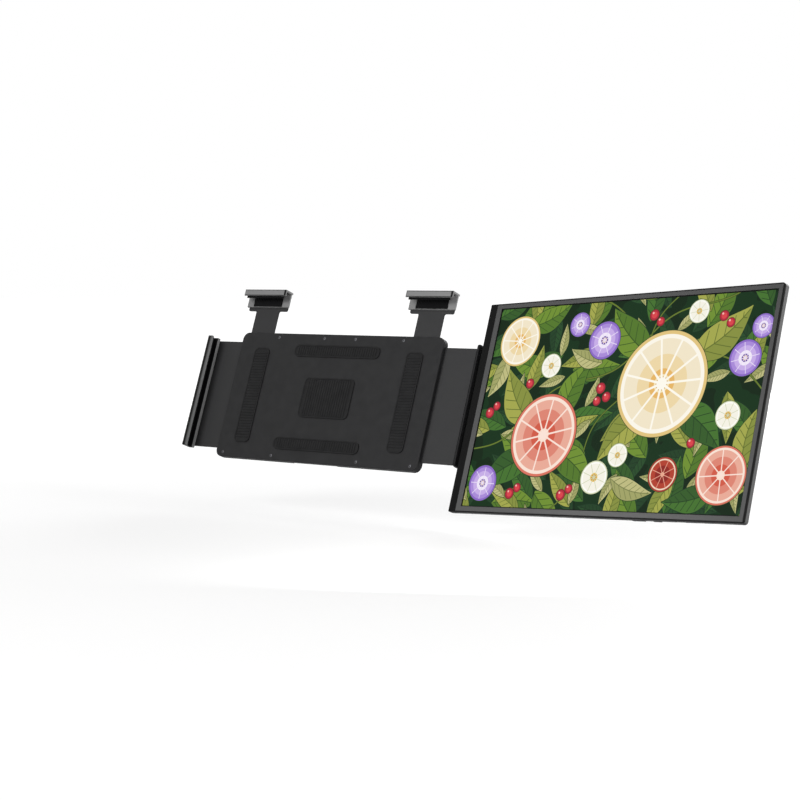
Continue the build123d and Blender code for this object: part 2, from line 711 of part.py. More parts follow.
def top_arm_plate(x):
    """T-shaped plate: narrow neck in the housing, wide head behind the hook."""
    head_top = HOOK_TOP - HOOK_ROOF
    head_low = TOP_HEAD_Z - TOP_SHOULDER
    bend = TOP_SHOULDER / 2
    neck = TOP_NECK_W / 2
    head = TOP_HEAD_W / 2
    face = outline((x - neck, TOP_INNER_Z, TOP_SHOULDER), (x + neck, TOP_INNER_Z, TOP_SHOULDER),
                   (x + neck, head_low, bend), (x + head, head_low, bend),
                   (x + head, head_top, 0), (x - head, head_top, 0),
                   (x - head, head_low, bend), (x - neck, head_low, bend))
    plate = along_y(face, RACK_Y, RACK_Y + TOP_PLATE_T)
    for sx, sz in top_screw_places(x):
        place = facing(sx, RACK_Y + TOP_PLATE_T, sz, (0, -1, 0))
        plate -= place * screw(TOP_PLATE_T + 1)
    return plate


def top_hook(x):
    """Moulded hook: front lip, roof, and a back that is screwed to the plate."""
    back = RACK_Y + TOP_PLATE_T
    roof = HOOK_TOP - HOOK_ROOF
    section = outline((back, HOOK_TOP, 0.8), (LIP_FRONT_Y, HOOK_TOP, HOOK_ROUND),
                      (LIP_FRONT_Y, HOOK_TOP - HOOK_LIP_H, 0.7),
                      (LIP_INNER_Y, HOOK_TOP - HOOK_LIP_H, 0.5), (LIP_INNER_Y, roof, 0),
                      (LINER_BACK, roof, 0), (LINER_BACK, TOP_HEAD_Z, 0.5),
                      (RACK_Y, TOP_HEAD_Z, 0), (RACK_Y, roof, 0), (back, roof, 0))
    low = x - HOOK_W / 2
    high = x + HOOK_W / 2
    plan = outline((low, LIP_FRONT_Y, LIP_ROUND), (high, LIP_FRONT_Y, LIP_ROUND),
                   (high, back, 0), (low, back, 0))
    hook = along_x(section, low, high) & along_z(plan, TOP_HEAD_Z, HOOK_TOP)
    for sx, sz in top_screw_places(x):
        hook -= rod_y(SCREW_R, LINER_BACK + 0.4, RACK_Y, sx, sz)
    return hook


def top_liner(x):
    """Soft lining under the hook's roof and down its two faces, its front edge below the lip."""
    roof = HOOK_TOP - HOOK_ROOF
    under = roof - LINER_WALL
    lip_low = HOOK_TOP - HOOK_LIP_H - HOOK_LINER_DROP
    front = outline((LIP_INNER_Y, roof, 0), (LIP_INNER_Y, lip_low, 0.4),
                    (LIP_INNER_Y + LINER_LIP, lip_low, 0), (LIP_INNER_Y + LINER_LIP, under, 0),
                    (0, under, 0), (0, roof, 0))
    back = outline((LIP_INNER_Y + LINER_LIP, roof, 0), (LIP_INNER_Y + LINER_LIP, under, 0),
                   (0, under, 0), (0, TOP_HEAD_Z + 1, 0), (LINER_BACK, TOP_HEAD_Z + 1, 0),
                   (LINER_BACK, roof, 0))
    wide = HOOK_W / 2 - HOOK_LINER_INSET
    narrow = HOOK_W / 2 - HOOK_LINER_BACK_INSET
    return along_x(front, x - wide, x + wide) + along_x(back, x - narrow, x + narrow)


def top_screws(x):
    length = RACK_Y + TOP_PLATE_T - LINER_BACK - 0.4
    return group([facing(sx, RACK_Y + TOP_PLATE_T, sz, (0, -1, 0)) * screw(length)
                  for sx, sz in top_screw_places(x)])


# Fold-out stand

def stand_leg():
    """Pressed leg, tapered to its foot, with a knuckle along its hinge edge."""
    low = STAND_AXIS_Z
    high = LEG_TOP_Z - FOOT_H
    wide = LEG_W / 2
    narrow = LEG_TIP_W / 2
    bend = low + LEG_STRAIGHT
    leg = along_y(outline((-wide, low, 0), (wide, low, 0), (wide, bend, LEG_BEND_R),
                          (narrow, high, 0), (-narrow, high, 0), (-wide, bend, LEG_BEND_R)),
                  LEG_Y, LEG_Y + LEG_T)
    window = RectangleRounded(LEG_TIP_W - 2 * LEG_WINDOW_EDGE, LEG_WINDOW_H, HOUSING_CORNER)
    leg -= along_y(Pos(0, (low + high) / 2) * window, LEG_Y, LEG_Y + LEG_T)
    leg += rod_x(STAND_KNUCKLE_R, -wide, wide, STAND_AXIS_Y, STAND_AXIS_Z)
    leg -= rod_x(STAND_PIN_R + PIVOT_GAP, -wide, wide, STAND_AXIS_Y, STAND_AXIS_Z)
    return leg + foot_tongue(high - 1)


def foot_tongue(low):
    """Thin tongue of the leg that the foot sits on, from the given height up."""
    half = LEG_TIP_W / 2 - TONGUE_INSET
    return block((-half, half), (LEG_Y + LEG_T / 3, LEG_Y + LEG_T * 2 / 3),
                 (low, LEG_TOP_Z - FOOT_H / 2))


def stand_foot():
    """Rubber foot over the leg's tongue."""
    high = LEG_TOP_Z - FOOT_H
    narrow = LEG_TIP_W / 2
    foot = along_y(outline((-narrow, high, 0), (narrow, high, 0), (narrow - 1, LEG_TOP_Z, 3),
                           (1 - narrow, LEG_TOP_Z, 3)), LEG_Y, LEG_Y + LEG_T)
    return foot - foot_tongue(high)


# Monitor, in its own frame

def opening(grow):
    """Face of the visible screen area, grown by a margin all round."""
    width = ACTIVE_W + 2 * grow
    height = ACTIVE_H + 2 * grow
    return Pos(ACTIVE_X + ACTIVE_W / 2, ACTIVE_Z + ACTIVE_H / 2) * Rectangle(width, height)


def case_face(inset, corner):
    """Case outline right of the spine, with its two outer corners rounded."""
    low = MON_BOTTOM + inset
    high = MON_TOP - inset
    right = MON_RIGHT - inset
    return outline((SPINE_END, low, 0), (right, low, corner), (right, high, corner),
                   (SPINE_END, high, 0))


def front_frame():
    """Matt bezel around the screen, with snap hooks behind its edges."""
    frame = along_y(case_face(0, MON_CORNER), MON_FRONT, BEZEL_BACK)
    rim = [edge for edge in frame.faces().sort_by(Axis.Y)[0].edges()
           if edge.center().X > SPINE_END + 1]
    frame = fillet(rim, BEZEL_T / 2)
    frame -= along_y(opening(BORDER), MON_FRONT, BEZEL_BACK)
    inner = [edge for edge in frame.faces().sort_by(Axis.Y)[0].edges()
             if abs(edge.center().X - ACTIVE_X - ACTIVE_W / 2) <= ACTIVE_W / 2 + BORDER + 0.1
             and abs(edge.center().Z - ACTIVE_Z - ACTIVE_H / 2) <= ACTIVE_H / 2 + BORDER + 0.1]
    frame = chamfer(inner, BEZEL_T * 0.4)
    snap_y = (BEZEL_BACK, BEZEL_BACK + SNAP_REACH)
    low = MON_BOTTOM + SHELL_WALL
    high = MON_TOP - SHELL_WALL
    start = SPINE_END + SNAP_END
    pitch = (MON_RIGHT - SNAP_END - start) / (SNAP_COUNT - 1)
    for number in range(SNAP_COUNT):
        x = start + number * pitch
        snap_x = (x - SNAP_W / 2, x + SNAP_W / 2)
        frame += block(snap_x, snap_y, (low, low + SNAP_T))
        frame += block(snap_x, snap_y, (high - SNAP_T, high))
    return frame


def spine_cover():
    """Black spine along the hinge side, rounded all round and slotted for the two ears."""
    low = MON_BOTTOM
    high = MON_TOP
    plan = outline((MON_X, MON_FRONT, SPINE_ROUND), (SPINE_END, MON_FRONT, 0),
                   (SPINE_END, MON_REAR, 0), (MON_X, MON_REAR, SPINE_ROUND))
    front = outline((MON_X, low, MON_CORNER), (SPINE_END, low, 0), (SPINE_END, high, 0),
                    (MON_X, high, MON_CORNER))
    side = outline((MON_FRONT, low, BEZEL_T / 2), (MON_FRONT, high, BEZEL_T / 2),
                   (MON_REAR, high, MON_REAR_ROUND), (MON_REAR, low, MON_REAR_ROUND))
    cover = along_z(plan, low, high) & along_y(front, MON_FRONT, MON_REAR)
    cover = cover & along_x(side, MON_X, SPINE_END)
    hollow = (MON_X + SHELL_WALL, SPINE_END)
    cover -= block(hollow, (MON_FRONT + SHELL_WALL, REAR_INNER), (low + SHELL_WALL, high - SHELL_WALL))
    leaf_front = REAR_INNER - EAR_LEAF_T - SLIDE_GAP
    web_end = EAR_WEB_X + EAR_WEB_W + EAR_BEND_R + SLIDE_GAP
    for side in (-1, 1):
        slot_z = between(side, EAR_Z - SLIDE_GAP, EAR_Z + EAR_H + SLIDE_GAP)
        cover -= block((MON_X, MON_X + SPINE_W / 2), (leaf_front, REAR_INNER), slot_z)
        cover -= block((MON_X, web_end), (leaf_front, MON_REAR), slot_z)
    return cover


def panel_frame(y, thickness, over):
    """One flat sheet of the display stack, larger than the visible area by a margin."""
    return along_y(opening(over), y, y + thickness)


def panel_gasket():
    """Thin foam frame between the bezel and the glass."""
    ring = opening(CELL_OVER) - opening(BORDER + 0.4)
    return along_y(ring, BEZEL_BACK, CELL_Y)


def lcd_panel():
    return panel_frame(CELL_Y, CELL_T, CELL_OVER)


def optical_films():
    return panel_frame(FILM_Y, FILM_T, CELL_OVER - 0.4)


def light_guide():
    return panel_frame(GUIDE_Y, GUIDE_T, CELL_OVER - 0.8)


def led_strip():
    """Flexible strip below the light guide with its row of diodes."""
    low = ACTIVE_Z - CELL_OVER
    start = ACTIVE_X + 8
    end = ACTIVE_X + ACTIVE_W - 8
    strip = block((start, end), (GUIDE_Y, TRAY_Y), (low, low + 0.3))
    count = 22
    for number in range(count):
        x = start + (end - start) * (number + 0.5) / count
        strip += block((x - 1.8, x + 1.8), (GUIDE_Y + 0.1, TRAY_Y - 0.1), (low + 0.3, low + 0.7))
    return strip


def panel_tray():
    """Folded steel tray behind the display stack, notched for the ribbon."""
    rim_over = CELL_OVER + TRAY_RIM + 0.2
    tray = along_y(opening(rim_over), CELL_Y, TRAY_BACK)
    tray -= along_y(opening(rim_over - TRAY_RIM), CELL_Y, TRAY_Y)
    low = ACTIVE_Z - rim_over
    notch = (RIBBON_X[0] - 1, RIBBON_X[1] + 1)
    tray -= block(notch, (CELL_Y, TRAY_BACK), (low, low + TRAY_RIM))
    return tray


def rear_shell():
    """Rear housing: rounded back, port and key holes, speaker slots, posts for the board."""
    shell = along_y(case_face(0, MON_CORNER), BEZEL_BACK, MON_REAR)
    rim = [edge for edge in shell.faces().sort_by(Axis.Y)[-1].edges()
           if edge.center().X > SPINE_END + 1]
    shell = fillet(rim, MON_REAR_ROUND)
    shell -= along_y(case_face(SHELL_WALL, SHELL_WALL), BEZEL_BACK, REAR_INNER)
    post_front = PORT_Y + BOARD_T / 2
    for x, z in board_screw_places():
        shell += rod_y(STANDOFF_R, post_front, REAR_INNER + SHELL_REAR / 2, x, z)
        shell -= rod_y(SCREW_R, post_front, REAR_INNER, x, z)
    for x, width in port_places():
        shell -= wall_hole(x, width, USB_H, PORT_WALL)
    for x, width in ((POWER_X, POWER_W), (ROCKER_X, ROCKER_W)):
        shell -= wall_hole(x, width, KEY_H, KEY_GAP)
    shell += rocker_saddle()
    for x, z in ear_screw_places():
        shell -= facing(x, MON_REAR, z, (0, -1, 0)) * screw(SHELL_REAR + 0.5)
    for x in SPEAKER_X:
        first = x + (SPEAKER_SIZE[0] - (SPEAKER_SLOTS - 1) * SPEAKER_PITCH) / 2
        for number in range(SPEAKER_SLOTS):
            place = Pos(first + number * SPEAKER_PITCH, SPEAKER_Z)
            slot = place * SlotOverall(SPEAKER_SLOT_H, SPEAKER_SLOT_W, rotation=90)
            shell -= along_y(slot, REAR_INNER, MON_REAR)
    return shell


def key_prism(x, width, height, z):
    """Round-ended bar that runs along Z through the bottom wall."""
    return along_z(Pos(x, PORT_Y) * SlotOverall(width, height), z[0], z[1])


def wall_hole(x, width, height, gap):
    """Hole in the bottom wall for a socket or a key, a gap larger all round."""
    return key_prism(x, width + 2 * gap, height + 2 * gap,
                     (MON_BOTTOM - 1, MON_BOTTOM + SHELL_WALL + 1))


def port_places():
    """Sockets in the bottom edge as (x, width)."""
    return [(x, USB_W) for x in USB_X] + [(HDMI_X, HDMI_W)]


def board_screw_places():
    inset = STANDOFF_R * 2.5
    return [(BOARD_X[0] + inset, BOARD_Z[1] - inset), (BOARD_X[1] - inset, BOARD_Z[1] - inset),
            (BOARD_X[1] - inset, PORT_TOP + inset), (BOARD_X[0] + 46, PORT_TOP + inset * 3)]


def driver_board():
    """Circuit board with bays for the sockets."""
    y = (PORT_Y - BOARD_T / 2, PORT_Y + BOARD_T / 2)
    board = block(BOARD_X, y, BOARD_Z)
    for x, width in port_places():
        half = width / 2 + LEG_GAP
        board -= block((x - half, x + half), y, (BOARD_Z[0] - 1, PORT_TOP + LEG_GAP))
    for x, z in board_screw_places():
        board -= rod_y(SCREW_R + 0.1, y[0], y[1], x, z)
    return board


def chip(x, z, width, height, y):
    """Flat component, its place measured from the board's lower left corner."""
    x += BOARD_X[0]
    z += BOARD_Z[0]
    return block((x - width / 2, x + width / 2), y, (z - height / 2, z + height / 2))


def board_components():
    """Chips, coils and the ribbon's connector, soldered to the board."""
    back = PORT_Y + BOARD_T / 2
    front = PORT_Y - BOARD_T / 2
    ahead = (front - CHIP_T + PORT_WALL, front)
    chips = [chip(*place, (back, back + CHIP_T)) for place in CHIPS_BEHIND]
    chips += [chip(*place, ahead) for place in CHIPS_AHEAD]
    chips += [rod_y(COIL_R, back, back + COIL_T, BOARD_X[0] + x, BOARD_Z[0] + z) for x, z in COILS]
    connector = (RIBBON_X[0] - 1, RIBBON_X[1] + 1)
    chips.append(block(connector, ahead, (RIBBON_TOP - 2, RIBBON_TOP + 2)))
    return group(chips)


def board_screws():
    front = PORT_Y - BOARD_T / 2
    screws = []
    for x, z in board_screw_places():
        head = rod_y(SCREW_HEAD_R, front - 0.6, front, x, z)
        screws.append(head + rod_y(SCREW_R, front, REAR_INNER, x, z))
    return group(screws)


def socket(x, width, height, tongue_w, tongue_t):
    """Open shell of a connector with its contact tongue."""
    low = MON_BOTTOM + PORT_SINK
    floor = PORT_TOP - 1.0
    shell = key_prism(x, width, height, (low, PORT_TOP))
    shell -= key_prism(x, width - 2 * PORT_WALL, height - 2 * PORT_WALL, (low, floor))
    tongue = block((x - tongue_w / 2, x + tongue_w / 2),
                   (PORT_Y - tongue_t / 2, PORT_Y + tongue_t / 2), (low + 1.5, floor))
    return shell + tongue


def usb_c_ports():
    return group([socket(x, USB_W, USB_H, 6.69, 0.7) for x in USB_X])


def mini_hdmi_port():
    return socket(HDMI_X, HDMI_W, USB_H, 8.6, 0.8)


def key(x, width):
    """Round-ended key with a wider flange inside the wall."""
    low = MON_BOTTOM - KEY_PROUD
    body = key_prism(x, width, KEY_H, (low, KEY_BACK))
    body = fillet(body.faces().sort_by(Axis.Z)[0].edges(), 0.35)
    flange = block((x - width / 2 - 1, x + width / 2 + 1), (PORT_Y - KEY_H / 2, PORT_Y + KEY_H / 2),
                   (KEY_BACK - KEY_FLANGE, KEY_BACK))
    return body + flange


def power_button():
    return key(POWER_X, POWER_W)


def rocker_pivot(grow):
    """Short pivot ahead of the rocker's flange, grown by a running gap."""
    front = PORT_Y - KEY_H / 2 - ROCKER_PIVOT_L
    return rod_y(ROCKER_PIVOT_R + grow, front, PORT_Y, ROCKER_X, KEY_BACK - KEY_FLANGE / 2)


def rocker_saddle():
    """Open-topped bearing on the bottom wall that the rocker's pivot lies in."""
    front = PORT_Y - KEY_H / 2 - ROCKER_PIVOT_L
    half = ROCKER_PIVOT_R * 3
    post = block((ROCKER_X - half, ROCKER_X + half), (front, PORT_Y - KEY_H / 2 - KEY_GAP),
                 (MON_BOTTOM + SHELL_WALL / 2, KEY_BACK - KEY_FLANGE / 2))
    return post - rocker_pivot(PIVOT_GAP)


def menu_rocker():
    return key(ROCKER_X, ROCKER_W) + rocker_pivot(0)


def button_switches():
    """Three press switches at the board's edge, just behind the keys."""
    low = KEY_BACK + KEY_TRAVEL + 0.1
    switches = []
    for x in (POWER_X, ROCKER_X - ROCKER_W / 2 + 2, ROCKER_X + ROCKER_W / 2 - 2):
        plunger = block((x - 1, x + 1), (PORT_Y - 0.6, PORT_Y + 0.6), (low, low + 0.6))
        case = block((x - 2, x + 2), (PORT_Y - 1.2, PORT_Y + 1.2), (low + 0.6, BOARD_Z[0]))
        switches.append(plunger + case)
    return group(switches)


def panel_ribbon():
    """Flat flexible cable from the glass round the tray's edge to the board."""
    near = TRAY_BACK + 0.1
    low = ACTIVE_Z - CELL_OVER
    deep = low - TRAY_RIM - 0.4
    top = RIBBON_TOP
    front = CELL_Y + CELL_T / 2
    face = outline((near, top, 0), (near, deep + RIBBON_T, 0), (front + RIBBON_T, deep + RIBBON_T, 0),
                   (front + RIBBON_T, low, 0), (front, low, 0), (front, deep, 0),
                   (near + RIBBON_T, deep, 0), (near + RIBBON_T, top, 0))
    return along_x(face, RIBBON_X[0], RIBBON_X[1])


def speakers():
    """Two flat speaker boxes behind the slots."""
    width, depth, height = SPEAKER_SIZE
    back = REAR_INNER - 0.1
    face = RectangleRounded(width, height, WALL)
    return group([along_y(Pos(x + width / 2, SPEAKER_Z) * face, back - depth, back)
                  for x in SPEAKER_X])


def ear_screw_places():
    """Screws through the rear shell into both ears, as (x, z)."""
    middle = EAR_Z + EAR_H / 2
    x = (EAR_PALM_X + EAR_LEAF_X) / 2
    return [(x, side * middle + offset) for side in (-1, 1)
            for offset in (-EAR_SCREW_RISE, EAR_SCREW_RISE)]


def hinge_ear(side):
    """Steel ear: ring on the pin, web, and a leaf screwed inside the rear shell."""
    z = between(side, EAR_Z, EAR_Z + EAR_H)
    leaf_front = REAR_INNER - EAR_LEAF_T
    ear = along_z(Circle(BARREL_R), z[0], z[1])
    web = outline((EAR_WEB_X, 0, 0), (EAR_WEB_X, leaf_front, 0.8), (EAR_LEAF_X, leaf_front, 0),
                  (EAR_LEAF_X, REAR_INNER, 0), (EAR_WEB_X + EAR_WEB_W, REAR_INNER, EAR_BEND_R),
                  (EAR_WEB_X + EAR_WEB_W, 0, 0))
    ear += along_z(web, z[0], z[1])
    middle = side * (EAR_Z + EAR_H / 2)
    ear += block((EAR_PALM_X, EAR_LEAF_X), (leaf_front, REAR_INNER),
                 (middle - EAR_PALM_H / 2, middle + EAR_PALM_H / 2))
    ear -= along_z(Circle(PIN_R + PIVOT_GAP), z[0], z[1])
    for x, screw_z in ear_screw_places():
        if screw_z * side > 0:
            ear -= rod_y(SCREW_R, leaf_front, REAR_INNER, x, screw_z)
    return ear


def hinge_screws():
    length = SHELL_REAR + EAR_LEAF_T
    return group([facing(x, MON_REAR, z, (0, -1, 0)) * screw(length)
                  for x, z in ear_screw_places()])


def rear_bumpers():
    """Rubber feet that meet the bracket when the screen is folded behind it."""
    feet = [rod_y(BUMPER_R, MON_REAR, MON_REAR + BUMPER_T, x, side * BUMPER_Z)
            for x in BUMPER_X for side in (-1, 1)]
    return group(feet)


def turned(piece):
    """The same piece half a turn about Y, for the opposite side arm."""
    return Rot(0, 180, 0) * piece


def bracket_pieces():
    """Everything modelled in the bracket's frame."""
    pieces = {
        "bracket_front": bracket_front(),
        "bracket_rear": bracket_rear(),
        "grip_pads": grip_pads(),
        "slide_rails": slide_rails(),
        "pinion_axle": pinion_axle(),
        "friction_pads": friction_pads(),
        "bracket_screws": bracket_screws(),
        "stand_pin": stand_pin(),
        "drive_pinion": pinion(),
        "left_arm_plate": left_arm_plate(),
        "left_rack": left_rack(),
        "left_rack_rivets": left_rack_rivets(),
        "left_jaw": left_jaw(),
        "left_jaw_liner": left_jaw_liner(),
        "left_jaw_screws": left_jaw_screws(),
        "right_arm_plate": right_arm_plate(),
        "right_rack": turned(left_rack()),
        "right_rack_rivets": turned(left_rack_rivets()),
        "right_jaw": right_jaw(),
        "right_jaw_liner": right_jaw_liner(),
        "right_jaw_screws": right_jaw_screws(),
        "hinge_pins": hinge_pins(),
        "hinge_washers": hinge_washers(),
        "stand_leg": stand_leg(),
        "stand_foot": stand_foot(),
    }
    for side, x in (("left", -TOP_X), ("right", TOP_X)):
        pieces["top_arm_plate_" + side] = top_arm_plate(x)
        pieces["top_hook_" + side] = top_hook(x)
        pieces["top_liner_" + side] = top_liner(x)
        pieces["top_screws_" + side] = top_screws(x)
    return pieces


def monitor_pieces():
    """Everything modelled in the monitor's own frame."""
    return {
        "front_frame": front_frame(),
        "spine_cover": spine_cover(),
        "panel_gasket": panel_gasket(),
        "lcd_panel": lcd_panel(),
        "optical_films": optical_films(),
        "light_guide": light_guide(),
        "led_strip": led_strip(),
        "panel_tray": panel_tray(),
        "rear_shell": rear_shell(),
        "driver_board": driver_board(),
        "board_components": board_components(),
        "board_screws": board_screws(),
        "usb_c_ports": usb_c_ports(),
        "mini_hdmi_port": mini_hdmi_port(),
        "button_switches": button_switches(),
        "panel_ribbon": panel_ribbon(),
        "speakers": speakers(),
        "hinge_ear_upper": hinge_ear(1),
        "hinge_ear_lower": hinge_ear(-1),
        "hinge_screws": hinge_screws(),
        "rear_bumpers": rear_bumpers(),
        "power_button": power_button(),
        "menu_rocker": menu_rocker(),
    }


os.makedirs("parts", exist_ok=True)
lean = Rot(-LEAN, 0, 0)
swing = Pos(AXIS_X, AXIS_Y, 0) * Rot(0, 0, -SWING_OUT)
for name, piece in bracket_pieces().items():
    export_step(lean * piece, "parts/" + name + ".step")
for name, piece in monitor_pieces().items():
    export_step(lean * swing * piece, "parts/" + name + ".step")
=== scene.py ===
"""Finishes, screen picture and fine pieces for a clip-on portable monitor, on its frame."""
import functools
import json
import math
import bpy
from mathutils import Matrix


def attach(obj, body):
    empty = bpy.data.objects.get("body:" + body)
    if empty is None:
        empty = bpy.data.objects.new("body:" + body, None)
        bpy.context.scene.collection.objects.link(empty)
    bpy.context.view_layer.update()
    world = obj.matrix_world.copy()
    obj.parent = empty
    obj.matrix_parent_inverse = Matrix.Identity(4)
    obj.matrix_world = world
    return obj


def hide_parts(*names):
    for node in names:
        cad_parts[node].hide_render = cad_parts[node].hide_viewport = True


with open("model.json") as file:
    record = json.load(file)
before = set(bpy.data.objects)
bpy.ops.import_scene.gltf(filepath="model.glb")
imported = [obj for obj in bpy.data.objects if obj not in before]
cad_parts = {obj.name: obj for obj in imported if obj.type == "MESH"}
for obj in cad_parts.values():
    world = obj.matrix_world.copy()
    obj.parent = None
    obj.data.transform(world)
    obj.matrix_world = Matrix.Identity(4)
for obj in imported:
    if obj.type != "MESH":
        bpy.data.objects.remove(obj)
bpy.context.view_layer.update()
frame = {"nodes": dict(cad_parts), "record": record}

from types import SimpleNamespace

import bpy
from bpy.props import FloatProperty, FloatVectorProperty, PointerProperty
from mathutils import Matrix, Vector

bl_info = {
    "name": "Clip-on monitor",
    "version": (1, 1, 0),
    "blender": (4, 5, 0),
    "location": "View3D > Sidebar > Monitor",
    "description": "Dresses a clip-on portable monitor and its clamp bracket",
    "category": "Object",
}

MM = 0.001

# The clamp leans back as it hangs in use. Its hinge line is placed in its own upright frame, and
# the screen swings out from there. Lengths are in mm, but for those of the stage.
LEAN = math.radians(20.2)
SWING_OUT = math.radians(11.04)
HINGE_X = 195.8
HINGE_Y = 8.0

# The frame of the leaning clamp, and the frame of the swung screen: both take mm to metres
LEANED = Matrix.Rotation(-LEAN, 4, "X") @ Matrix.Scale(MM, 4)
SWUNG = LEANED @ Matrix.Translation((HINGE_X, HINGE_Y, 0)) @ Matrix.Rotation(-SWING_OUT, 4, "Z")

# Edges and faces of the screen's case, in the screen's frame
CASE_RIGHT = 371.1
CASE_TOP = 109.1
CASE_BOTTOM = -114.3
CASE_FRONT = -12.5
CASE_REAR = -4.1
# How deep the bezel's face reaches behind its front
FACE_DEPTH = 0.4

# The lit area of the panel: its lower left corner in the screen's frame, its width and height,
# and the frame that the picture is drawn in, across and up from that corner
ACTIVE_CORNER = (20.5, -11.2, -107.0)
ACTIVE_W = 343.6
ACTIVE_H = 209.7
PICTURE = SWUNG @ Matrix.Translation(ACTIVE_CORNER) @ Matrix.Rotation(math.radians(90), 4, "X")

# Settings of a Mix node that mixes colours, and of a Mapping node that takes a place to a frame
COLOURS = {"data_type": "RGBA"}
TO_FRAME = {"vector_type": "TEXTURE"}

# Spacing of the faint clouds that a moulding shows where the plastic cooled unevenly
CLOUD = 9.0


def linear(code):
    """Linear colour, with an alpha of 1, of an sRGB hex code such as "#1B3A22"."""
    shares = [int(code[i:i + 2], 16) / 255 for i in (1, 3, 5)]
    return [s / 12.92 if s <= 0.04045 else ((s + 0.055) / 1.055) ** 2.4 for s in shares] + [1.0]


def node(tree, kind, how=None, *values, **named):
    """Add a node with its operation or attributes, then values and wires by order or by name."""
    new = tree.nodes.new(kind if kind.startswith("Node") else "ShaderNode" + kind)
    settings = how if isinstance(how, dict) else {"operation": how} if how else {}
    for name, value in settings.items():
        setattr(new, name, value)
    wires = list(zip([socket for socket in new.inputs if socket.enabled], values))
    wires += [(new.inputs[name.replace("_", " ")], value) for name, value in named.items()]
    for socket, value in wires:
        if isinstance(value, bpy.types.Node):
            value = next(output for output in value.outputs if output.enabled)
        if isinstance(value, bpy.types.NodeSocket):
            tree.links.new(value, socket)
        elif value is not None:
            socket.default_value = value
    return new


def new_material(name):
    """Empty node material, and the function that adds its nodes."""
    material = bpy.data.materials.new(name)
    material.use_nodes = True
    material.node_tree.nodes.clear()
    return material, functools.partial(node, material.node_tree)


def moulded(name, colour, roughness, gloss=0.12, grain=0.6, depth=0.02, mottle=0.04, painted_shading=None):
    """Spark-textured moulding: grain in the height, faint cloudiness in colour and gloss.

    Grain and depth are the texture's width and height in mm, and the grain is drawn about four
    times as coarse as the real one so that it shows. Painted shading, where given, is a function
    that lays painted light or shade, in a second colour, over part of the surface.
    """
    material, add = new_material(name)
    place = add("TexCoord").outputs["Object"]
    spark = add("TexNoise", None, Vector=place, Scale=1 / (grain * MM), Detail=3.0, Roughness=0.6)
    cloud = add("TexNoise", None, Vector=place, Scale=1 / (CLOUD * MM), Detail=4.0)
    both = add("Math", "ADD", spark.outputs["Fac"], cloud.outputs["Fac"])
    shade = add("MapRange", None, both, 0.7, 1.3, 1 - mottle, 1 + mottle)
    base = painted_shading(add, colour) if painted_shading else colour[:3]
    tone = add("VectorMath", "SCALE", base, Scale=shade)
    dull = add("MapRange", None, cloud.outputs["Fac"], 0.3, 0.7,
               roughness - 0.05, roughness + 0.05)
    relief = add("Bump", None, Strength=1.0, Distance=depth * MM, Height=spark.outputs["Fac"])
    shader = add("BsdfPrincipled", None, Base_Color=tone, Roughness=dull, Normal=relief,
                 Specular_IOR_Level=gloss)
    add("OutputMaterial", None, shader)
    return material


def local_place(add, base):
    """Position in a base frame, in its millimetres, as X, Y and Z."""
    moved = add("Mapping", TO_FRAME, add("TexCoord").outputs["Object"], base.to_translation(),
                base.to_euler(), base.to_scale())
    return add("SeparateXYZ", None, moved)


def local_normal(add, base):
    """Size of the surface normal's X, Y and Z parts in a base frame."""
    turned = add("Mapping", TO_FRAME, add("TexCoord").outputs["Normal"], (0, 0, 0),
                 base.to_euler())
    return add("SeparateXYZ", None, add("VectorMath", "ABSOLUTE", turned))


def painted_shade_on_roundings(dark):
    """Painted shading of a top clip: flat faces in the given colour, painted shade on its rounded
    edges.
    """
    def painted_shading(add, colour):
        parts = local_normal(add, LEANED)
        flat = add("Math", "MAXIMUM", parts.outputs["X"], parts.outputs["Y"])
        flat = add("Math", "MAXIMUM", flat, parts.outputs["Z"])
        share = add("MapRange", None, flat, 0.9, 0.985, 0.0, 1.0)
        return add("Mix", COLOURS, share, dark, [*colour, 1.0])
    return painted_shading


def painted_shade_round_lip(dark):
    """Painted shading of the left clip: sides in the given colour, painted shade round its front
    lip.
    """
    def painted_shading(add, colour):
        sideways = local_normal(add, LEANED).outputs["X"]
        share = add("MapRange", None, sideways, 0.1, 0.95, 0.0, 1.0)
        return add("Mix", COLOURS, share, dark, [*colour, 1.0])
    return painted_shading


def painted_shade_rim(dark, rim):
    """Painted shading of the bezel: a grey face inside a rim of painted shade of the given width.
    """
    def painted_shading(add, colour):
        place = local_place(add, SWUNG)
        half_w = (CASE_RIGHT - rim) / 2
        half_h = (CASE_TOP - CASE_BOTTOM) / 2 - rim
        across = add("Math", "COMPARE", place.outputs["X"], half_w, half_w)
        tall = add("Math", "COMPARE", place.outputs["Z"], (CASE_TOP + CASE_BOTTOM) / 2, half_h)
        front = add("Math", "LESS_THAN", place.outputs["Y"], CASE_FRONT + FACE_DEPTH)
        face = add("Math", "MULTIPLY", across, tall)
        face = add("Math", "MULTIPLY", face, front)
        return add("Mix", COLOURS, face, dark, [*colour, 1.0])
    return painted_shading


def shell_painted_shade_and_light(dark, band, start, end):
    """Painted shading of the rear shell: painted shade all round beside the bezel, as deep as the
    start, and from there to the end a strip of painted light along its free side.
    """
    def painted_shading(add, colour):
        depth = local_place(add, SWUNG).outputs["Y"]
        edge = add("Math", "LESS_THAN", depth, CASE_FRONT + start)
        shallow = add("Math", "LESS_THAN", depth, CASE_FRONT + end)
        sideways = add("Math", "GREATER_THAN", local_normal(add, SWUNG).outputs["X"], 0.7)
        side = add("Math", "MULTIPLY", shallow, sideways)
        tone = add("Mix", COLOURS, side, [*colour, 1.0], band)
        return add("Mix", COLOURS, edge, tone, dark)
    return painted_shading


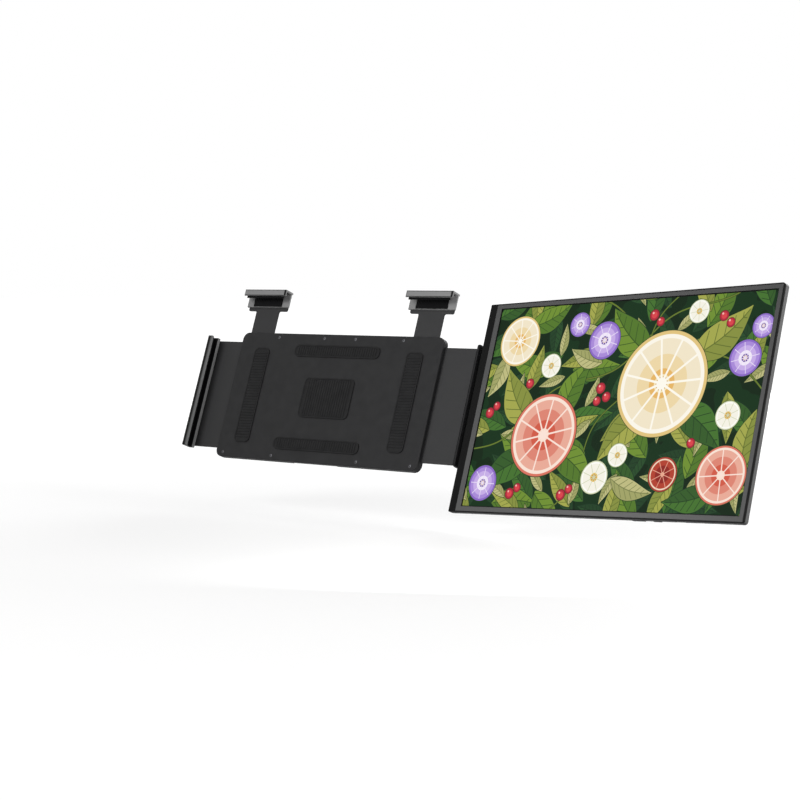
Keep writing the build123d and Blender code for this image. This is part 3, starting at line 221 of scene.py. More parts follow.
def sheet_metal(name, colour, roughness, bare=True, grain=0.25, stretch=25.0):
    """Sheet metal with rolling marks along X, bare or under a thin dark coating.

    Grain is the width of a mark in mm, drawn coarser than the real 0.05 so that it shows, and
    stretch is how many times longer it is.
    """
    material, add = new_material(name)
    place = add("TexCoord").outputs["Object"]
    drawn = add("Mapping", None, place, Scale=(1 / stretch, 1.0, 1.0))
    rolled = add("TexNoise", None, Vector=drawn, Scale=1 / (grain * MM), Detail=2.0)
    shade = add("MapRange", None, rolled.outputs["Fac"], 0.3, 0.7, 0.9, 1.1)
    tone = add("VectorMath", "SCALE", colour[:3], Scale=shade)
    dull = add("MapRange", None, rolled.outputs["Fac"], 0.3, 0.7,
               roughness - 0.08, roughness + 0.08)
    relief = add("Bump", None, Strength=0.5, Distance=0.004 * MM, Height=rolled.outputs["Fac"])
    shader = add("BsdfPrincipled", None, Base_Color=tone, Roughness=dull, Normal=relief,
                 Metallic=1.0 if bare else 0.0, Specular_IOR_Level=0.5 if bare else 0.15)
    add("OutputMaterial", None, shader)
    return material


def ribbed(name, colour, roughness, pitch, depth, angle):
    """Soft moulding with fine parallel ribs that grip, at a pitch and a depth in mm.

    The angle turns the ribs, in degrees.
    """
    material, add = new_material(name)
    place = add("TexCoord").outputs["Object"]
    turned = add("Mapping", None, place, Rotation=(0, math.radians(angle), 0))
    # At a scale of 1, a wave texture repeats every tau / 20
    ribs = add("TexWave", {"bands_direction": "X", "wave_profile": "SIN"}, Vector=turned,
               Scale=math.tau / 20 / (pitch * MM))
    dust = add("TexNoise", None, Vector=place, Scale=1 / (3 * MM), Detail=4.0)
    height = add("Math", "MULTIPLY_ADD", dust.outputs["Fac"], 0.15, ribs.outputs["Fac"])
    # Colour follows the ribs' height: painted shade in the grooves, painted highlight on the
    # crests
    shade = add("MapRange", None, height, 0.0, 1.15, 0.75, 1.15)
    tone = add("VectorMath", "SCALE", colour[:3], Scale=shade)
    relief = add("Bump", None, Strength=1.0, Distance=depth * MM, Height=height)
    shader = add("BsdfPrincipled", None, Base_Color=tone, Roughness=roughness, Normal=relief,
                 Specular_IOR_Level=0.08)
    add("OutputMaterial", None, shader)
    return material


def pressed_felt(name, colour):
    """Wool felt: short fibres at random, with no gloss, drawn thicker than real ones to show."""
    material, add = new_material(name)
    place = add("TexCoord").outputs["Object"]
    fibre = add("TexNoise", None, Vector=place, Scale=1 / (0.5 * MM), Detail=5.0, Distortion=1.5)
    shade = add("MapRange", None, fibre.outputs["Fac"], 0.3, 0.7, 0.6, 1.4)
    tone = add("VectorMath", "SCALE", colour[:3], Scale=shade)
    relief = add("Bump", None, Strength=1.0, Distance=0.15 * MM, Height=fibre.outputs["Fac"])
    shader = add("BsdfPrincipled", None, Base_Color=tone, Roughness=0.95, Normal=relief,
                 Sheen_Weight=0.3, Specular_IOR_Level=0.1)
    add("OutputMaterial", None, shader)
    return material


# The screen's picture is a plain pattern of fruit slices, berries and leaves, in millimetres on
# the panel. Each leaf's colours are its light half, its dark half and its veins.
LEAF_COLOURS = {
    "shade": ("#254A27", "#1E3F22", "#16301B"),
    "deep": ("#43702C", "#335A26", "#21421D"),
    "green": ("#6E8E30", "#527628", "#35541F"),
    "olive": ("#A2A64C", "#858F3E", "#5F6C2B"),
    "sage": ("#BDBA80", "#A0A266", "#767C49"),
}
# Ground, lit and shaded, then the stems, the line round stems and leaves, and round the slices
GROUND = ("#0C2F13", "#07230B")
STEM = "#66792A"
OUTLINE = "#12301C"
RIND = "#2A4423"
# Width of the line round a leaf and a stem
LEAF_LINE = 0.6
STEM_LINE = 0.4
# Scattered leaves: colours, size of the cell that holds one leaf, shift, length, width
LEAF_LAYERS = (
    ("shade", 44, (11, 5), 44, 15), ("deep", 62, (3, 41), 56, 20),
    ("green", 74, (37, 19), 60, 24), ("olive", 66, (90, 62), 50, 17),
    ("sage", 50, (71, 33), 34, 10),
)
# Leaves one by one: colours, middle across and up, turn in degrees, length, width, bend
LEAVES = (
    ("green", 178, 174, 138, 74, 33, 5), ("olive", 292, 168, 38, 78, 34, -6),
    ("deep", 284, 84, -36, 70, 32, 5), ("olive", 190, 76, 222, 72, 30, -6),
    ("olive", 46, 110, 128, 76, 34, 7), ("green", 140, 44, -34, 68, 30, 4),
    ("deep", 48, 40, 208, 70, 32, -5), ("green", 118, 122, 66, 66, 28, 6),
    ("deep", 284, 12, 192, 58, 24, 4), ("olive", 336, 70, 84, 56, 24, 4),
    ("green", 72, 196, 24, 60, 25, -5), ("sage", 16, 136, 250, 48, 19, 4),
    ("sage", 214, 20, -14, 54, 20, -5), ("sage", 128, 152, 160, 46, 17, 3),
)
# Stems as waves: start across and up, turn in degrees, rise of the wave, its length, thickness
STEMS = ((0, 60, 28, 9, 150, 1.5), (120, 0, 62, 8, 120, 1.3), (340, 120, 158, 10, 170, 1.5))
# Each slice: kind, middle across and up, radius, number of segments
SLICES = (
    ("cream", 229, 124, 53, 11), ("coral", 92, 74, 43, 10), ("cream", 34, 174, 27, 9),
    ("coral", 316, 36, 28, 8), ("lilac", 148, 170, 20, 8), ("lilac", 112, 188, 13, 7),
    ("lilac", 22, 24, 19, 8), ("lilac", 320, 146, 18, 8), ("lilac", 334, 176, 12, 7),
    ("white", 168, 32, 17, 8), ("white", 192, 54, 12, 7), ("white", 84, 146, 13, 8),
    ("white", 312, 92, 14, 8), ("red", 250, 36, 17, 8), ("white", 258, 194, 12, 8),
    ("berry", 155, 121, 6, 0), ("berry", 164, 112, 5.5, 0), ("berry", 153, 108, 5, 0),
    ("berry", 288, 188, 5.5, 0), ("berry", 297, 181, 5, 0), ("berry", 60, 128, 5.5, 0),
    ("berry", 205, 193, 6, 0), ("berry", 214, 186, 5, 0), ("berry", 130, 14, 6, 0),
    ("berry", 139, 20, 5, 0), ("berry", 12, 98, 6, 0), ("berry", 20, 105, 5, 0),
    ("berry", 276, 66, 5, 0), ("berry", 62, 14, 6, 0), ("berry", 71, 20, 5, 0),
)
# Each kind's rings from the middle out, as the share of the radius where a colour starts and
# the colour, and then the colour of the lines between its segments
RINGS = {
    "cream": (((0, "#B13F2D"), (0.06, "#CC9931"), (0.13, "#F3E3B8"), (0.17, "#E5B565"),
               (0.28, "#ECD6A6"), (0.55, "#F0E4C8"), (0.84, "#FAF5E8"), (0.92, "#E0C37E"),
               (0.985, RIND)), "#FCF8EC"),
    "coral": (((0, "#B13F2D"), (0.07, "#F7DCC8"), (0.16, "#D05A46"), (0.36, "#DC8472"),
               (0.62, "#E8AA97"), (0.84, "#F8E2D4"), (0.92, "#D9735F"), (0.98, RIND)), "#FAE2D6"),
    "red": (((0, "#F0C9A8"), (0.12, "#8E2620"), (0.5, "#B13F2D"), (0.8, "#F3D9C0"),
             (0.88, "#A5382B"), (0.97, RIND)), "#E9A48C"),
    "lilac": (((0, "#E6C24A"), (0.13, "#6A4AA0"), (0.22, "#F0E8F8"), (0.4, "#C5ACE6"),
               (0.66, "#A88AD8"), (0.86, "#8A68C4"), (0.97, RIND)), "#E7DCF5"),
    "white": (((0, "#CC9931"), (0.2, "#E8BE52"), (0.26, "#F4F1E4"), (0.8, "#FDFCF8"),
               (0.9, "#D6DBB8"), (0.97, RIND)), "#CDD3B0"),
    "berry": (((0, "#D8434A"), (0.55, "#B1283A"), (0.84, "#821B2C"), (0.95, "#1E3A20")), None),
}
# A berry's shine: place from the middle, radius and colour
SHINE = ((-1.8, 2.1, 0), 1.1, "#F6B7B0")


def motif(name, inputs, draw):
    """Node group that paints one kind of motif over the picture so far."""
    tree = bpy.data.node_groups.new(name, "ShaderNodeTree")
    for label, kind in inputs.items():
        tree.interface.new_socket(label, in_out="INPUT", socket_type="NodeSocket" + kind)
    tree.interface.new_socket("Picture", in_out="OUTPUT", socket_type="NodeSocketColor")
    add = functools.partial(node, tree)
    add("NodeGroupOutput", None, draw(add, add("NodeGroupInput").outputs))
    return tree


LEAF_INPUTS = {"Place": "Vector", "Paint": "Color", "Middle": "Vector", "Turn": "Float",
               "Bend": "Float", "Length": "Float", "Width": "Float", "Light": "Color",
               "Dark": "Color", "Vein": "Color"}
STEM_INPUTS = {"Place": "Vector", "Paint": "Color", "Start": "Vector", "Turn": "Float",
               "Rise": "Float", "Length": "Float", "Thickness": "Float"}
FRUIT_INPUTS = {"Place": "Vector", "Paint": "Color", "Middle": "Vector", "Radius": "Float",
                "Segments": "Float"}


def draw_leaf(add, given):
    """Two-tone leaf along its own X, with a bent midrib, slanted veins and a dark outline."""
    local = add("VectorMath", "SUBTRACT", given["Place"], given["Middle"])
    local = add("VectorRotate", {"rotation_type": "Z_AXIS"}, Vector=local, Angle=given["Turn"])
    flat = add("SeparateXYZ", None, local)
    along = add("Math", "DIVIDE", flat.outputs["X"], given["Length"])
    squared = add("Math", "MULTIPLY", along, along)
    across = add("Math", "MULTIPLY_ADD", squared, given["Bend"], flat.outputs["Y"])
    off = add("Math", "ABSOLUTE", across)

    # Half the width is greatest in the middle, nothing at both tips, and less towards the far tip
    lens = add("Math", "MULTIPLY_ADD", squared, -4.0, 1.0)
    taper = add("Math", "MULTIPLY_ADD", along, -0.8, 1.0)
    taper = add("Math", "MAXIMUM", taper, 0.2)
    edge = add("Math", "MULTIPLY", lens, taper)
    edge = add("Math", "MULTIPLY", edge, given["Width"])
    edge = add("Math", "MULTIPLY", edge, 0.5)
    inside = add("Math", "SUBTRACT", edge, off)
    upper = add("Math", "GREATER_THAN", across, 0.0)
    tone = add("Mix", COLOURS, upper, given["Dark"], given["Light"])

    # Veins leave the midrib at a slant, wider apart and thicker on a wide leaf, short of its edge
    slanted = add("Math", "MULTIPLY_ADD", off, -0.9, flat.outputs["X"])
    spacing = add("Math", "MULTIPLY", given["Width"], 0.18)
    rib = add("Math", "PINGPONG", slanted, spacing)
    rib = add("Math", "MINIMUM", rib, off)
    thin = add("Math", "MULTIPLY_ADD", given["Width"], 0.009, 0.25)
    line = add("Math", "LESS_THAN", rib, thin)
    margin = add("Math", "MULTIPLY", given["Width"], 0.06)
    inner = add("Math", "GREATER_THAN", inside, margin)
    line = add("Math", "MULTIPLY", line, inner)
    tone = add("Mix", COLOURS, line, tone, given["Vein"])

    outlined = add("Math", "GREATER_THAN", inside, -LEAF_LINE)
    paint = add("Mix", COLOURS, outlined, given["Paint"], linear(OUTLINE))
    cover = add("Math", "GREATER_THAN", inside, 0.0)
    return add("Mix", COLOURS, cover, paint, tone)


def draw_stem(add, given):
    """Thin winding stem with a dark outline."""
    local = add("VectorMath", "SUBTRACT", given["Place"], given["Start"])
    local = add("VectorRotate", {"rotation_type": "Z_AXIS"}, Vector=local, Angle=given["Turn"])
    flat = add("SeparateXYZ", None, local)
    phase = add("Math", "DIVIDE", flat.outputs["X"], given["Length"])
    phase = add("Math", "MULTIPLY", phase, math.tau)
    wave = add("Math", "SINE", phase)
    near = add("Math", "MULTIPLY_ADD", wave, given["Rise"], flat.outputs["Y"])
    near = add("Math", "ABSOLUTE", near)
    near = add("Math", "MULTIPLY_ADD", given["Thickness"], -0.5, near)
    cover = add("Math", "LESS_THAN", near, STEM_LINE)
    paint = add("Mix", COLOURS, cover, given["Paint"], linear(OUTLINE))
    cover = add("Math", "LESS_THAN", near, 0.0)
    return add("Mix", COLOURS, cover, paint, linear(STEM))


def draw_fruit(kind, add, given):
    """Round slice with rings of colour and lines between its segments, or a shiny berry."""
    rings, line_code = RINGS[kind]
    local = add("VectorMath", "SUBTRACT", given["Place"], given["Middle"])
    distance = add("VectorMath", "LENGTH", local)
    ratio = add("Math", "DIVIDE", distance, given["Radius"])
    tone = add("ValToRGB", None, ratio)
    tone.color_ramp.interpolation = "CONSTANT"
    stops = tone.color_ramp.elements
    stops.remove(stops[1])
    for start, code in rings:
        stop = stops.new(start) if start else stops[0]
        stop.color = linear(code)
    if line_code:
        # Straight lines from the middle, the same width all along, as far as the rind
        flat = add("SeparateXYZ", None, local)
        angle = add("Math", "ARCTAN2", flat.outputs["Y"], flat.outputs["X"])
        half = add("Math", "MULTIPLY", given["Segments"], 0.5)
        turn = add("Math", "MULTIPLY_ADD", angle, half, given["Radius"])
        gap = add("Math", "ABSOLUTE", add("Math", "SINE", turn))
        gap = add("Math", "MULTIPLY", gap, ratio)
        width = add("Math", "MULTIPLY", given["Segments"], 0.01)
        line = add("Math", "LESS_THAN", gap, width)
        flesh = add("Math", "LESS_THAN", ratio, 0.86)
        line = add("Math", "MULTIPLY", line, flesh)
        tone = add("Mix", COLOURS, line, tone, linear(line_code))
    else:
        spot, radius, code = SHINE
        near = add("VectorMath", "DISTANCE", local, spot)
        lit = add("Math", "LESS_THAN", near, radius)
        tone = add("Mix", COLOURS, lit, tone, linear(code))
    cover = add("Math", "LESS_THAN", ratio, 1.0)
    return add("Mix", COLOURS, cover, given["Paint"], tone)


def picture(add, place):
    """The whole picture: ground, scattered leaves, stems, the leaves listed one by one, then the
    fruit.
    """
    leaf = motif("picture_leaf", LEAF_INPUTS, draw_leaf)
    stem = motif("picture_stem", STEM_INPUTS, draw_stem)
    fruit = {kind: motif("picture_" + kind, FRUIT_INPUTS, functools.partial(draw_fruit, kind))
             for kind in RINGS}

    def here(paint):
        """The place plus nothing times the picture so far, so that the renderer finishes one
        motif before the next: it can't hold the values of all of them at once.
        """
        return add("VectorMath", "MULTIPLY_ADD", paint, (0, 0, 0), place)

    # The ground has shaded patches about 40 mm across
    cloud = add("TexNoise", None, Vector=place, Scale=1 / 40)
    shadow = add("Math", "GREATER_THAN", cloud.outputs["Fac"], 0.52)
    paint = add("Mix", COLOURS, shadow, *(linear(code) for code in GROUND))
    # A cell's own random colour turns and bends the leaf that it holds
    for colours, cell, shift, length, width in LEAF_LAYERS:
        moved = add("VectorMath", "ADD", here(paint), (*shift, 0))
        spots = add("TexVoronoi", {"voronoi_dimensions": "2D"}, Vector=moved, Scale=1 / cell,
                    Randomness=0.45)
        chance = add("SeparateColor", None, spots.outputs["Color"])
        turn = add("Math", "MULTIPLY", chance.outputs["Red"], math.tau)
        bend = add("MapRange", None, chance.outputs["Green"], 0, 1, -width, width)
        paint = add("Group", {"node_tree": leaf}, moved, paint, spots.outputs["Position"], turn,
                    bend, length, width, *(linear(code) for code in LEAF_COLOURS[colours]))
    for x, y, turn, *sizes in STEMS:
        paint = add("Group", {"node_tree": stem}, here(paint), paint, (x, y, 0),
                    -math.radians(turn), *sizes)
    # At a leaf's tips its place along is half its length, so the bend counts for a quarter
    for colours, x, y, turn, length, width, bend in LEAVES:
        paint = add("Group", {"node_tree": leaf}, here(paint), paint, (x, y, 0),
                    -math.radians(turn), 4 * bend, length, width,
                    *(linear(code) for code in LEAF_COLOURS[colours]))
    for kind, x, y, radius, segments in SLICES:
        paint = add("Group", {"node_tree": fruit[kind]}, here(paint), paint, (x, y, 0), radius,
                    segments)
    return paint


def lit_panel(name):
    """Matt polariser film over a lit panel: the picture shines through it, its border is black."""
    material, add = new_material(name)
    flat = local_place(add, PICTURE)
    paint = picture(add, add("CombineXYZ", None, flat.outputs["X"], flat.outputs["Y"], 0.0))
    wide = add("Math", "COMPARE", flat.outputs["X"], ACTIVE_W / 2, ACTIVE_W / 2)
    tall = add("Math", "COMPARE", flat.outputs["Y"], ACTIVE_H / 2, ACTIVE_H / 2)
    lit = add("Math", "MULTIPLY", wide, tall)
    shown = add("Mix", COLOURS, lit, linear("#050505"), paint)
    shader = add("BsdfPrincipled", None, Base_Color=linear("#060606"), Roughness=0.5,
                 Specular_IOR_Level=0.05, Emission_Color=shown, Emission_Strength=1.0)
    add("OutputMaterial", None, shader)
    return material


class MONITOR_PG_finishes(bpy.types.PropertyGroup):
    """Colours of the finishes that show most"""
    clip_grey: FloatVectorProperty(name="Top clips", description="Colour of the top clips' nylon",
                                   subtype="COLOR", default=linear("#949494")[:3])
    # The left clip's grey is the top clips' nylon made darker as painted shade
    jaw_shaded_grey: FloatVectorProperty(name="Left clip", description="Colour of the left clip's nylon",
                                  subtype="COLOR", default=linear("#848484")[:3])
    bezel_grey: FloatVectorProperty(name="Bezel", description="Colour of the bezel's moulding",
                                    subtype="COLOR", default=linear("#555555")[:3])
    shell_grey: FloatVectorProperty(name="Rear shell", description="Colour of the shell's paint",
                                    subtype="COLOR", default=linear("#38383A")[:3])
    housing_black: FloatVectorProperty(name="Housing", description="Colour of the clamp's housing",
                                       subtype="COLOR", default=linear("#202021")[:3])
    spine_black: FloatVectorProperty(name="Spine", description="Colour of the hinge cover",
                                     subtype="COLOR", default=linear("#0A0A0A")[:3])


def finishes(look):
    """Every material slot of the frame with the material that it takes."""
    return {
        # Glass-filled plastic from a spark-eroded mould: dull, with an even fine grain
        "bracket_plastic": moulded("pc_abs_housing_spark_textured", look.housing_black, 0.6,
                                   gloss=0.16),
        # Nylon from a finely textured mould: half matt grey faces, with painted shade where the
        # edges round
        "jaw_plastic": moulded("nylon_clip_fine_matt", look.clip_grey, 0.55, grain=0.45,
                               painted_shading=painted_shade_on_roundings(linear("#121212"))),
        # Cold-rolled steel under an electro-dipped coating: dark, with the rolling just showing
        "coated_steel": sheet_metal("steel_sheet_dip_coated_black", linear("#262627"), 0.45,
                                    bare=False),
        # Zinc-plated steel: pale, slightly blue metal with fine drawing marks
        "plain_steel": sheet_metal("steel_zinc_plated", linear("#B6B8BA"), 0.32),
        # Die-cast zinc under black powder coat: half matt, more coarsely speckled than plastic
        "hinge_metal": moulded("zinc_casting_powder_coated", linear("#101011"), 0.5, grain=0.9),
        # Acetal as moulded: milky white and slippery, almost without grain
        "acetal": moulded("acetal_natural_moulded", linear("#DEDCD2"), 0.35, grain=1.5,
                          depth=0.005),
        # Pressed wool felt: soft and dull, its short fibres at random
        "felt": pressed_felt("wool_felt_pressed", linear("#2A2A2C")),
        # Silicone liners with grip ribs moulded in: dull, nearly black and faintly dusty
        "silicone": ribbed("silicone_pad_ribbed", linear("#0C0C0D"), 0.75, pitch=2.6,
                           depth=0.25, angle=45),
        # Black rubber: duller than the silicone, with hardly a highlight
        "rubber_black": moulded("rubber_moulded_black", linear("#161617"), 0.85, gloss=0.2),
        # Steel screws in black oxide: dark metal with a slight shine
        "black_screw": sheet_metal("screw_steel_black_oxide", linear("#3A3A3C"), 0.3, grain=0.4),
        # Matt ABS bezel: a grey face with a very fine even grain, inside a rim of painted shade
        "bezel_plastic": moulded("abs_bezel_fine_matt", look.bezel_grey, 0.62, grain=0.4,
                                 painted_shading=painted_shade_rim(linear("#0A0A0A"), rim=1.5)),
        # Black ABS hinge cover: smoother than the housing, so its round edge takes a soft line
        "spine_plastic": moulded("abs_spine_satin_black", look.spine_black, 0.45, gloss=0.05,
                                 grain=0.4),
        # Pressed aluminium under fine matt paint: dark, with painted shade beside the bezel
        # and a band of painted light down its free side
        "shell_metal": moulded("aluminium_shell_matt_paint", look.shell_grey, 0.48, grain=0.35,
                               depth=0.01,
                               painted_shading=shell_painted_shade_and_light(linear("#0C0C0C"), linear("#707070"),
                                                 start=2.2, end=6.2)),
        # Closed-cell foam tape: black, finely pitted, with no shine
        "foam": moulded("foam_tape_closed_cell", linear("#0C0C0C"), 0.95, gloss=0.1, grain=0.8),
        # Matt film over the lit panel: bright where the picture shines, black round it
        "screen_glass": lit_panel("polariser_film_matt_over_lit_panel"),
        # Stacked diffuser films: white, faintly pearly
        "white_film": moulded("diffuser_film_white", linear("#E4E6E8"), 0.5, grain=5.0,
                              depth=0.002),
        # Cast acrylic guide: smooth, glossy and pale, its printed dots too fine to show
        "acrylic": moulded("acrylic_guide_cast", linear("#D8E0E4"), 0.12, gloss=0.5, grain=3.0,
                           depth=0.002),
        # Polyimide film over copper traces: amber, and mottled where the traces run
        "flex_circuit": moulded("polyimide_flex_amber", linear("#B07018"), 0.35, grain=2.0,
                                depth=0.01, mottle=0.15),
        # Epoxy board under green solder mask: shiny, mottled by the copper under it
        "circuit_board": moulded("epoxy_board_green_mask", linear("#12502A"), 0.32, gloss=0.5,
                                 grain=2.5, mottle=0.2),
        # Moulded epoxy of chips and switches: dark grey and dull, with the finest grain of all
        "chip_black": moulded("epoxy_chip_moulded", linear("#1A1A1B"), 0.6, grain=0.3),
        # Stamped socket shells in bright nickel: smooth and slightly warm
        "plated_socket": sheet_metal("socket_steel_nickel_plated", linear("#C8C8C4"), 0.2),
        # Keys in satin black ABS: smoother than the bezel beside them
        "key_plastic": moulded("abs_key_satin_black", linear("#1A1A1B"), 0.42, grain=0.4),
    }


class MONITOR_OT_finish_nodes(bpy.types.Operator):
    """Give every construction piece its real finish"""
    bl_idname = "monitor.finish_nodes"
    bl_label = "Finish the pieces"

    def execute(self, context):
        look = context.scene.monitor_finishes
        made = finishes(look)
        # The left clip's nylon is duller, painted a shade darker than the top clips', with painted
        # shade round its front lip
        own = {"left_jaw": moulded("nylon_clip_dark_matt", look.jaw_shaded_grey, 0.55, gloss=0.08,
                                   grain=0.45, painted_shading=painted_shade_round_lip(linear("#080808")))}
        slot_of = {part["node"]: part["material_slot"] for part in frame["record"]["subparts"]}
        for name, piece in frame["nodes"].items():
            piece.data.materials.clear()
            piece.data.materials.append(own.get(name, made[slot_of[name]]))
        return {"FINISHED"}


def alone(context, piece):
    """Select this piece and nothing else."""
    bpy.ops.object.select_all(action="DESELECT")
    piece.select_set(True)
    context.view_layer.objects.active = piece


def shape(context, piece, *steps):
    """Take edit-mode steps on the piece, each with the test of the faces that it acts on."""
    context.tool_settings.mesh_select_mode = (False, False, True)
    alone(context, piece)
    for test, step in steps:
        for group in (piece.data.vertices, piece.data.edges):
            for item in group:
                item.select = False
        for face in piece.data.polygons:
            face.select = test(face)
        bpy.ops.object.mode_set(mode="EDIT")
        step()
        bpy.ops.object.mode_set(mode="OBJECT")


def modify(context, piece, kind, **settings):
    """Add a modifier and apply it at once."""
    alone(context, piece)
    modifier = piece.modifiers.new(kind.lower(), kind)
    for name, value in settings.items():
        setattr(modifier, name, value)
    bpy.ops.object.modifier_apply(modifier=modifier.name)


def placed(context, model, places):
    """Copy a model to each place, each copy with its own mesh, and remove the model."""
    copies = []
    for place in places:
        copy = model.copy()
        copy.data = model.data.copy()
        copy.data.transform(place)
        context.scene.collection.objects.link(copy)
        copies.append(copy)
    bpy.data.objects.remove(model)
    return copies


def settle(context, copies, name, body, slot, replaced, material=None):
    """Join copies into one named piece with its slot's finish, and let it ride on its body."""
    if not material:
        material = next(frame["nodes"][part["node"]].data.materials[0]
                        for part in frame["record"]["subparts"] if part["material_slot"] == slot)
    alone(context, copies[0])
    for copy in copies:
        copy.select_set(True)
    if len(copies) > 1:
        bpy.ops.object.join()
    piece = context.active_object
    piece.name = name
    piece.data.name = name
    piece.data.materials.clear()
    piece.data.materials.append(material)
    alone(context, piece)
    bpy.ops.object.shade_smooth_by_angle(angle=math.radians(35))
    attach(piece, body)
    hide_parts(replaced)


def facing(frame_matrix, place, direction):
    """Place in a frame whose Z axis points along the given direction."""
    turn = Vector(direction).to_track_quat("Z", "Y").to_matrix().to_4x4()
    return frame_matrix @ Matrix.Translation(place) @ turn


def in_mm(sizes):
    """The lengths of a property group, in mm."""
    return SimpleNamespace(**{name: getattr(sizes, name) / MM
                              for name in type(sizes).__annotations__})


# Margin for a test on where a face lies
HAIR = 0.01


class MONITOR_PG_screws(bpy.types.PropertyGroup):
    """Sizes of the cross-recess screws"""
    head_r: FloatProperty(name="Head radius", description="Radius of the countersunk head",
                          default=1.9 * MM, unit="LENGTH")
    head_h: FloatProperty(name="Head depth", description="Depth of the countersunk head",
                          default=0.9 * MM, unit="LENGTH")
    shank_r: FloatProperty(name="Shank radius", description="Radius of the shank",
                           default=1.0 * MM, unit="LENGTH")
    recess_w: FloatProperty(name="Recess width", description="Width of the cross's arms",
                            default=0.5 * MM, unit="LENGTH")
    recess_l: FloatProperty(name="Recess length", description="Length of the cross's arms",
                            default=2.2 * MM, unit="LENGTH")
    recess_d: FloatProperty(name="Recess depth", description="Depth of the cross",
                            default=0.7 * MM, unit="LENGTH")


SCREW_EDGE = 0.1    # rounding of a screw's edges
CROSS_TURN = 20     # turn of the cross, in degrees
CROSS_TAPER = 0.45  # size of the cross's bottom as a share of its mouth
# Screws of each group: node, body, frame, way that the heads face, length, places
SCREW_GROUPS = (
    ("bracket_screws", "bracket", LEANED, (0, -1, 0), 6.0,
     [(x, 1.0, 69) for x in (-88, -22, 22, 88)] + [(x, 1.0, -69) for x in (-132, -60, 60, 132)]),
    ("left_jaw_screws", "left_arm", LEANED, (0, 1, 0), 4.5,
     [(-183.05, 6.6, z) for z in (-48, 0, 48)]),
    ("right_jaw_screws", "right_arm", LEANED, (-1, 0, 0), 4.0,
     [(186.0, 8.0, z) for z in (-42, 0, 42)]),
    ("top_screws_left", "top_arm_left", LEANED, (0, 1, 0), 2.8,
     [(x, 4.2, 110.6) for x in (-136, -96)]),
    ("top_screws_right", "top_arm_right", LEANED, (0, 1, 0), 2.8,
     [(x, 4.2, 110.6) for x in (96, 136)]),
    ("hinge_screws", "monitor", SWUNG, (0, 1, 0), 2.9,
     [(21, CASE_REAR, side * 61.15 + offset) for side in (-1, 1) for offset in (-6, 6)]),
)


def screw_model(context, size, length):
    """Countersunk screw with a cross recess, its head face up at the origin."""
    bpy.ops.object.select_all(action="DESELECT")
    bpy.ops.mesh.primitive_cone_add(vertices=40, radius1=size.shank_r, radius2=size.head_r,
                                    depth=size.head_h, location=(0, 0, -size.head_h / 2))
    screw = context.active_object
    bpy.ops.object.transform_apply(location=True)
    low = -size.head_h + HAIR
    drop = (0, 0, size.head_h - length)
    shape(context, screw,
          (lambda face: face.normal.z < -0.9 and face.center.z < low,
           lambda: bpy.ops.mesh.extrude_region_move(TRANSFORM_OT_translate={"value": drop})))
    modify(context, screw, "BEVEL", width=SCREW_EDGE, segments=2, limit_method="ANGLE",
           angle_limit=math.radians(60))
    for turn in (CROSS_TURN, CROSS_TURN + 90):
        bpy.ops.object.select_all(action="DESELECT")
        bpy.ops.mesh.primitive_cube_add(size=1, location=(0, 0, 0))
        arm = context.active_object
        arm.scale = (size.recess_l, size.recess_w, 2 * size.recess_d)
        arm.rotation_euler = (0, 0, math.radians(turn))
        bpy.ops.object.transform_apply(location=True, rotation=True, scale=True)
        shape(context, arm,
              (lambda face: face.normal.z < -0.9,
               lambda: bpy.ops.transform.resize(value=(CROSS_TAPER, CROSS_TAPER, 1))))
        modify(context, screw, "BOOLEAN", operation="DIFFERENCE", object=arm, solver="EXACT")
        bpy.data.objects.remove(arm)
    return screw


class MONITOR_OT_screws(bpy.types.Operator):
    """Model the cross-recess screws once for each length and set them in their seats"""
    bl_idname = "monitor.screws"
    bl_label = "Screws"

    def execute(self, context):
        for name, body, base, heading, length, places in SCREW_GROUPS:
            model = screw_model(context, in_mm(context.scene.monitor_screws), length)
            copies = placed(context, model, [facing(base, place, heading) for place in places])
            settle(context, copies, name + "_cross", body, "black_screw", name)
        return {"FINISHED"}


class MONITOR_PG_bumpers(bpy.types.PropertyGroup):
    """Sizes of the rear bumpers"""
    radius: FloatProperty(name="Radius", description="Radius of a rear bumper",
                          default=5.0 * MM, unit="LENGTH")
    height: FloatProperty(name="Height", description="Height of a rear bumper",
                          default=0.8 * MM, unit="LENGTH")
    dish_r: FloatProperty(name="Dish radius", description="Radius of the hollow",
                          default=3.2 * MM, unit="LENGTH")
    dish_d: FloatProperty(name="Dish depth", description="Depth of the hollow",
                          default=0.25 * MM, unit="LENGTH")


BUMPER_EDGE = 0.35  # rounding of a bumper's edge
DISH_SLOPE = 0.3    # width of the slope round its hollow
# Places of the bumpers across and up
BUMPERS = [(x, z) for x in (80, 300) for z in (-58, 58)]


def bumper_model(context, size):
    """Round foot with a softly rounded edge and a shallow hollow in its face."""
    bpy.ops.object.select_all(action="DESELECT")
    bpy.ops.mesh.primitive_cylinder_add(vertices=64, radius=size.radius, depth=size.height,
                                        location=(0, 0, size.height / 2))
    bumper = context.active_object
    bpy.ops.object.transform_apply(location=True)
    modify(context, bumper, "BEVEL", width=BUMPER_EDGE, segments=4, limit_method="ANGLE")
    high = size.height - HAIR
    rim = size.radius - BUMPER_EDGE - size.dish_r
    shape(context, bumper,
          (lambda face: face.normal.z > 0.9 and face.center.z > high,
           lambda: bpy.ops.mesh.inset(thickness=rim)),
          (lambda face: face.normal.z > 0.9 and face.center.z > high and len(face.vertices) > 4,
           lambda: bpy.ops.mesh.inset(thickness=DISH_SLOPE, depth=-size.dish_d)))
    return bumper


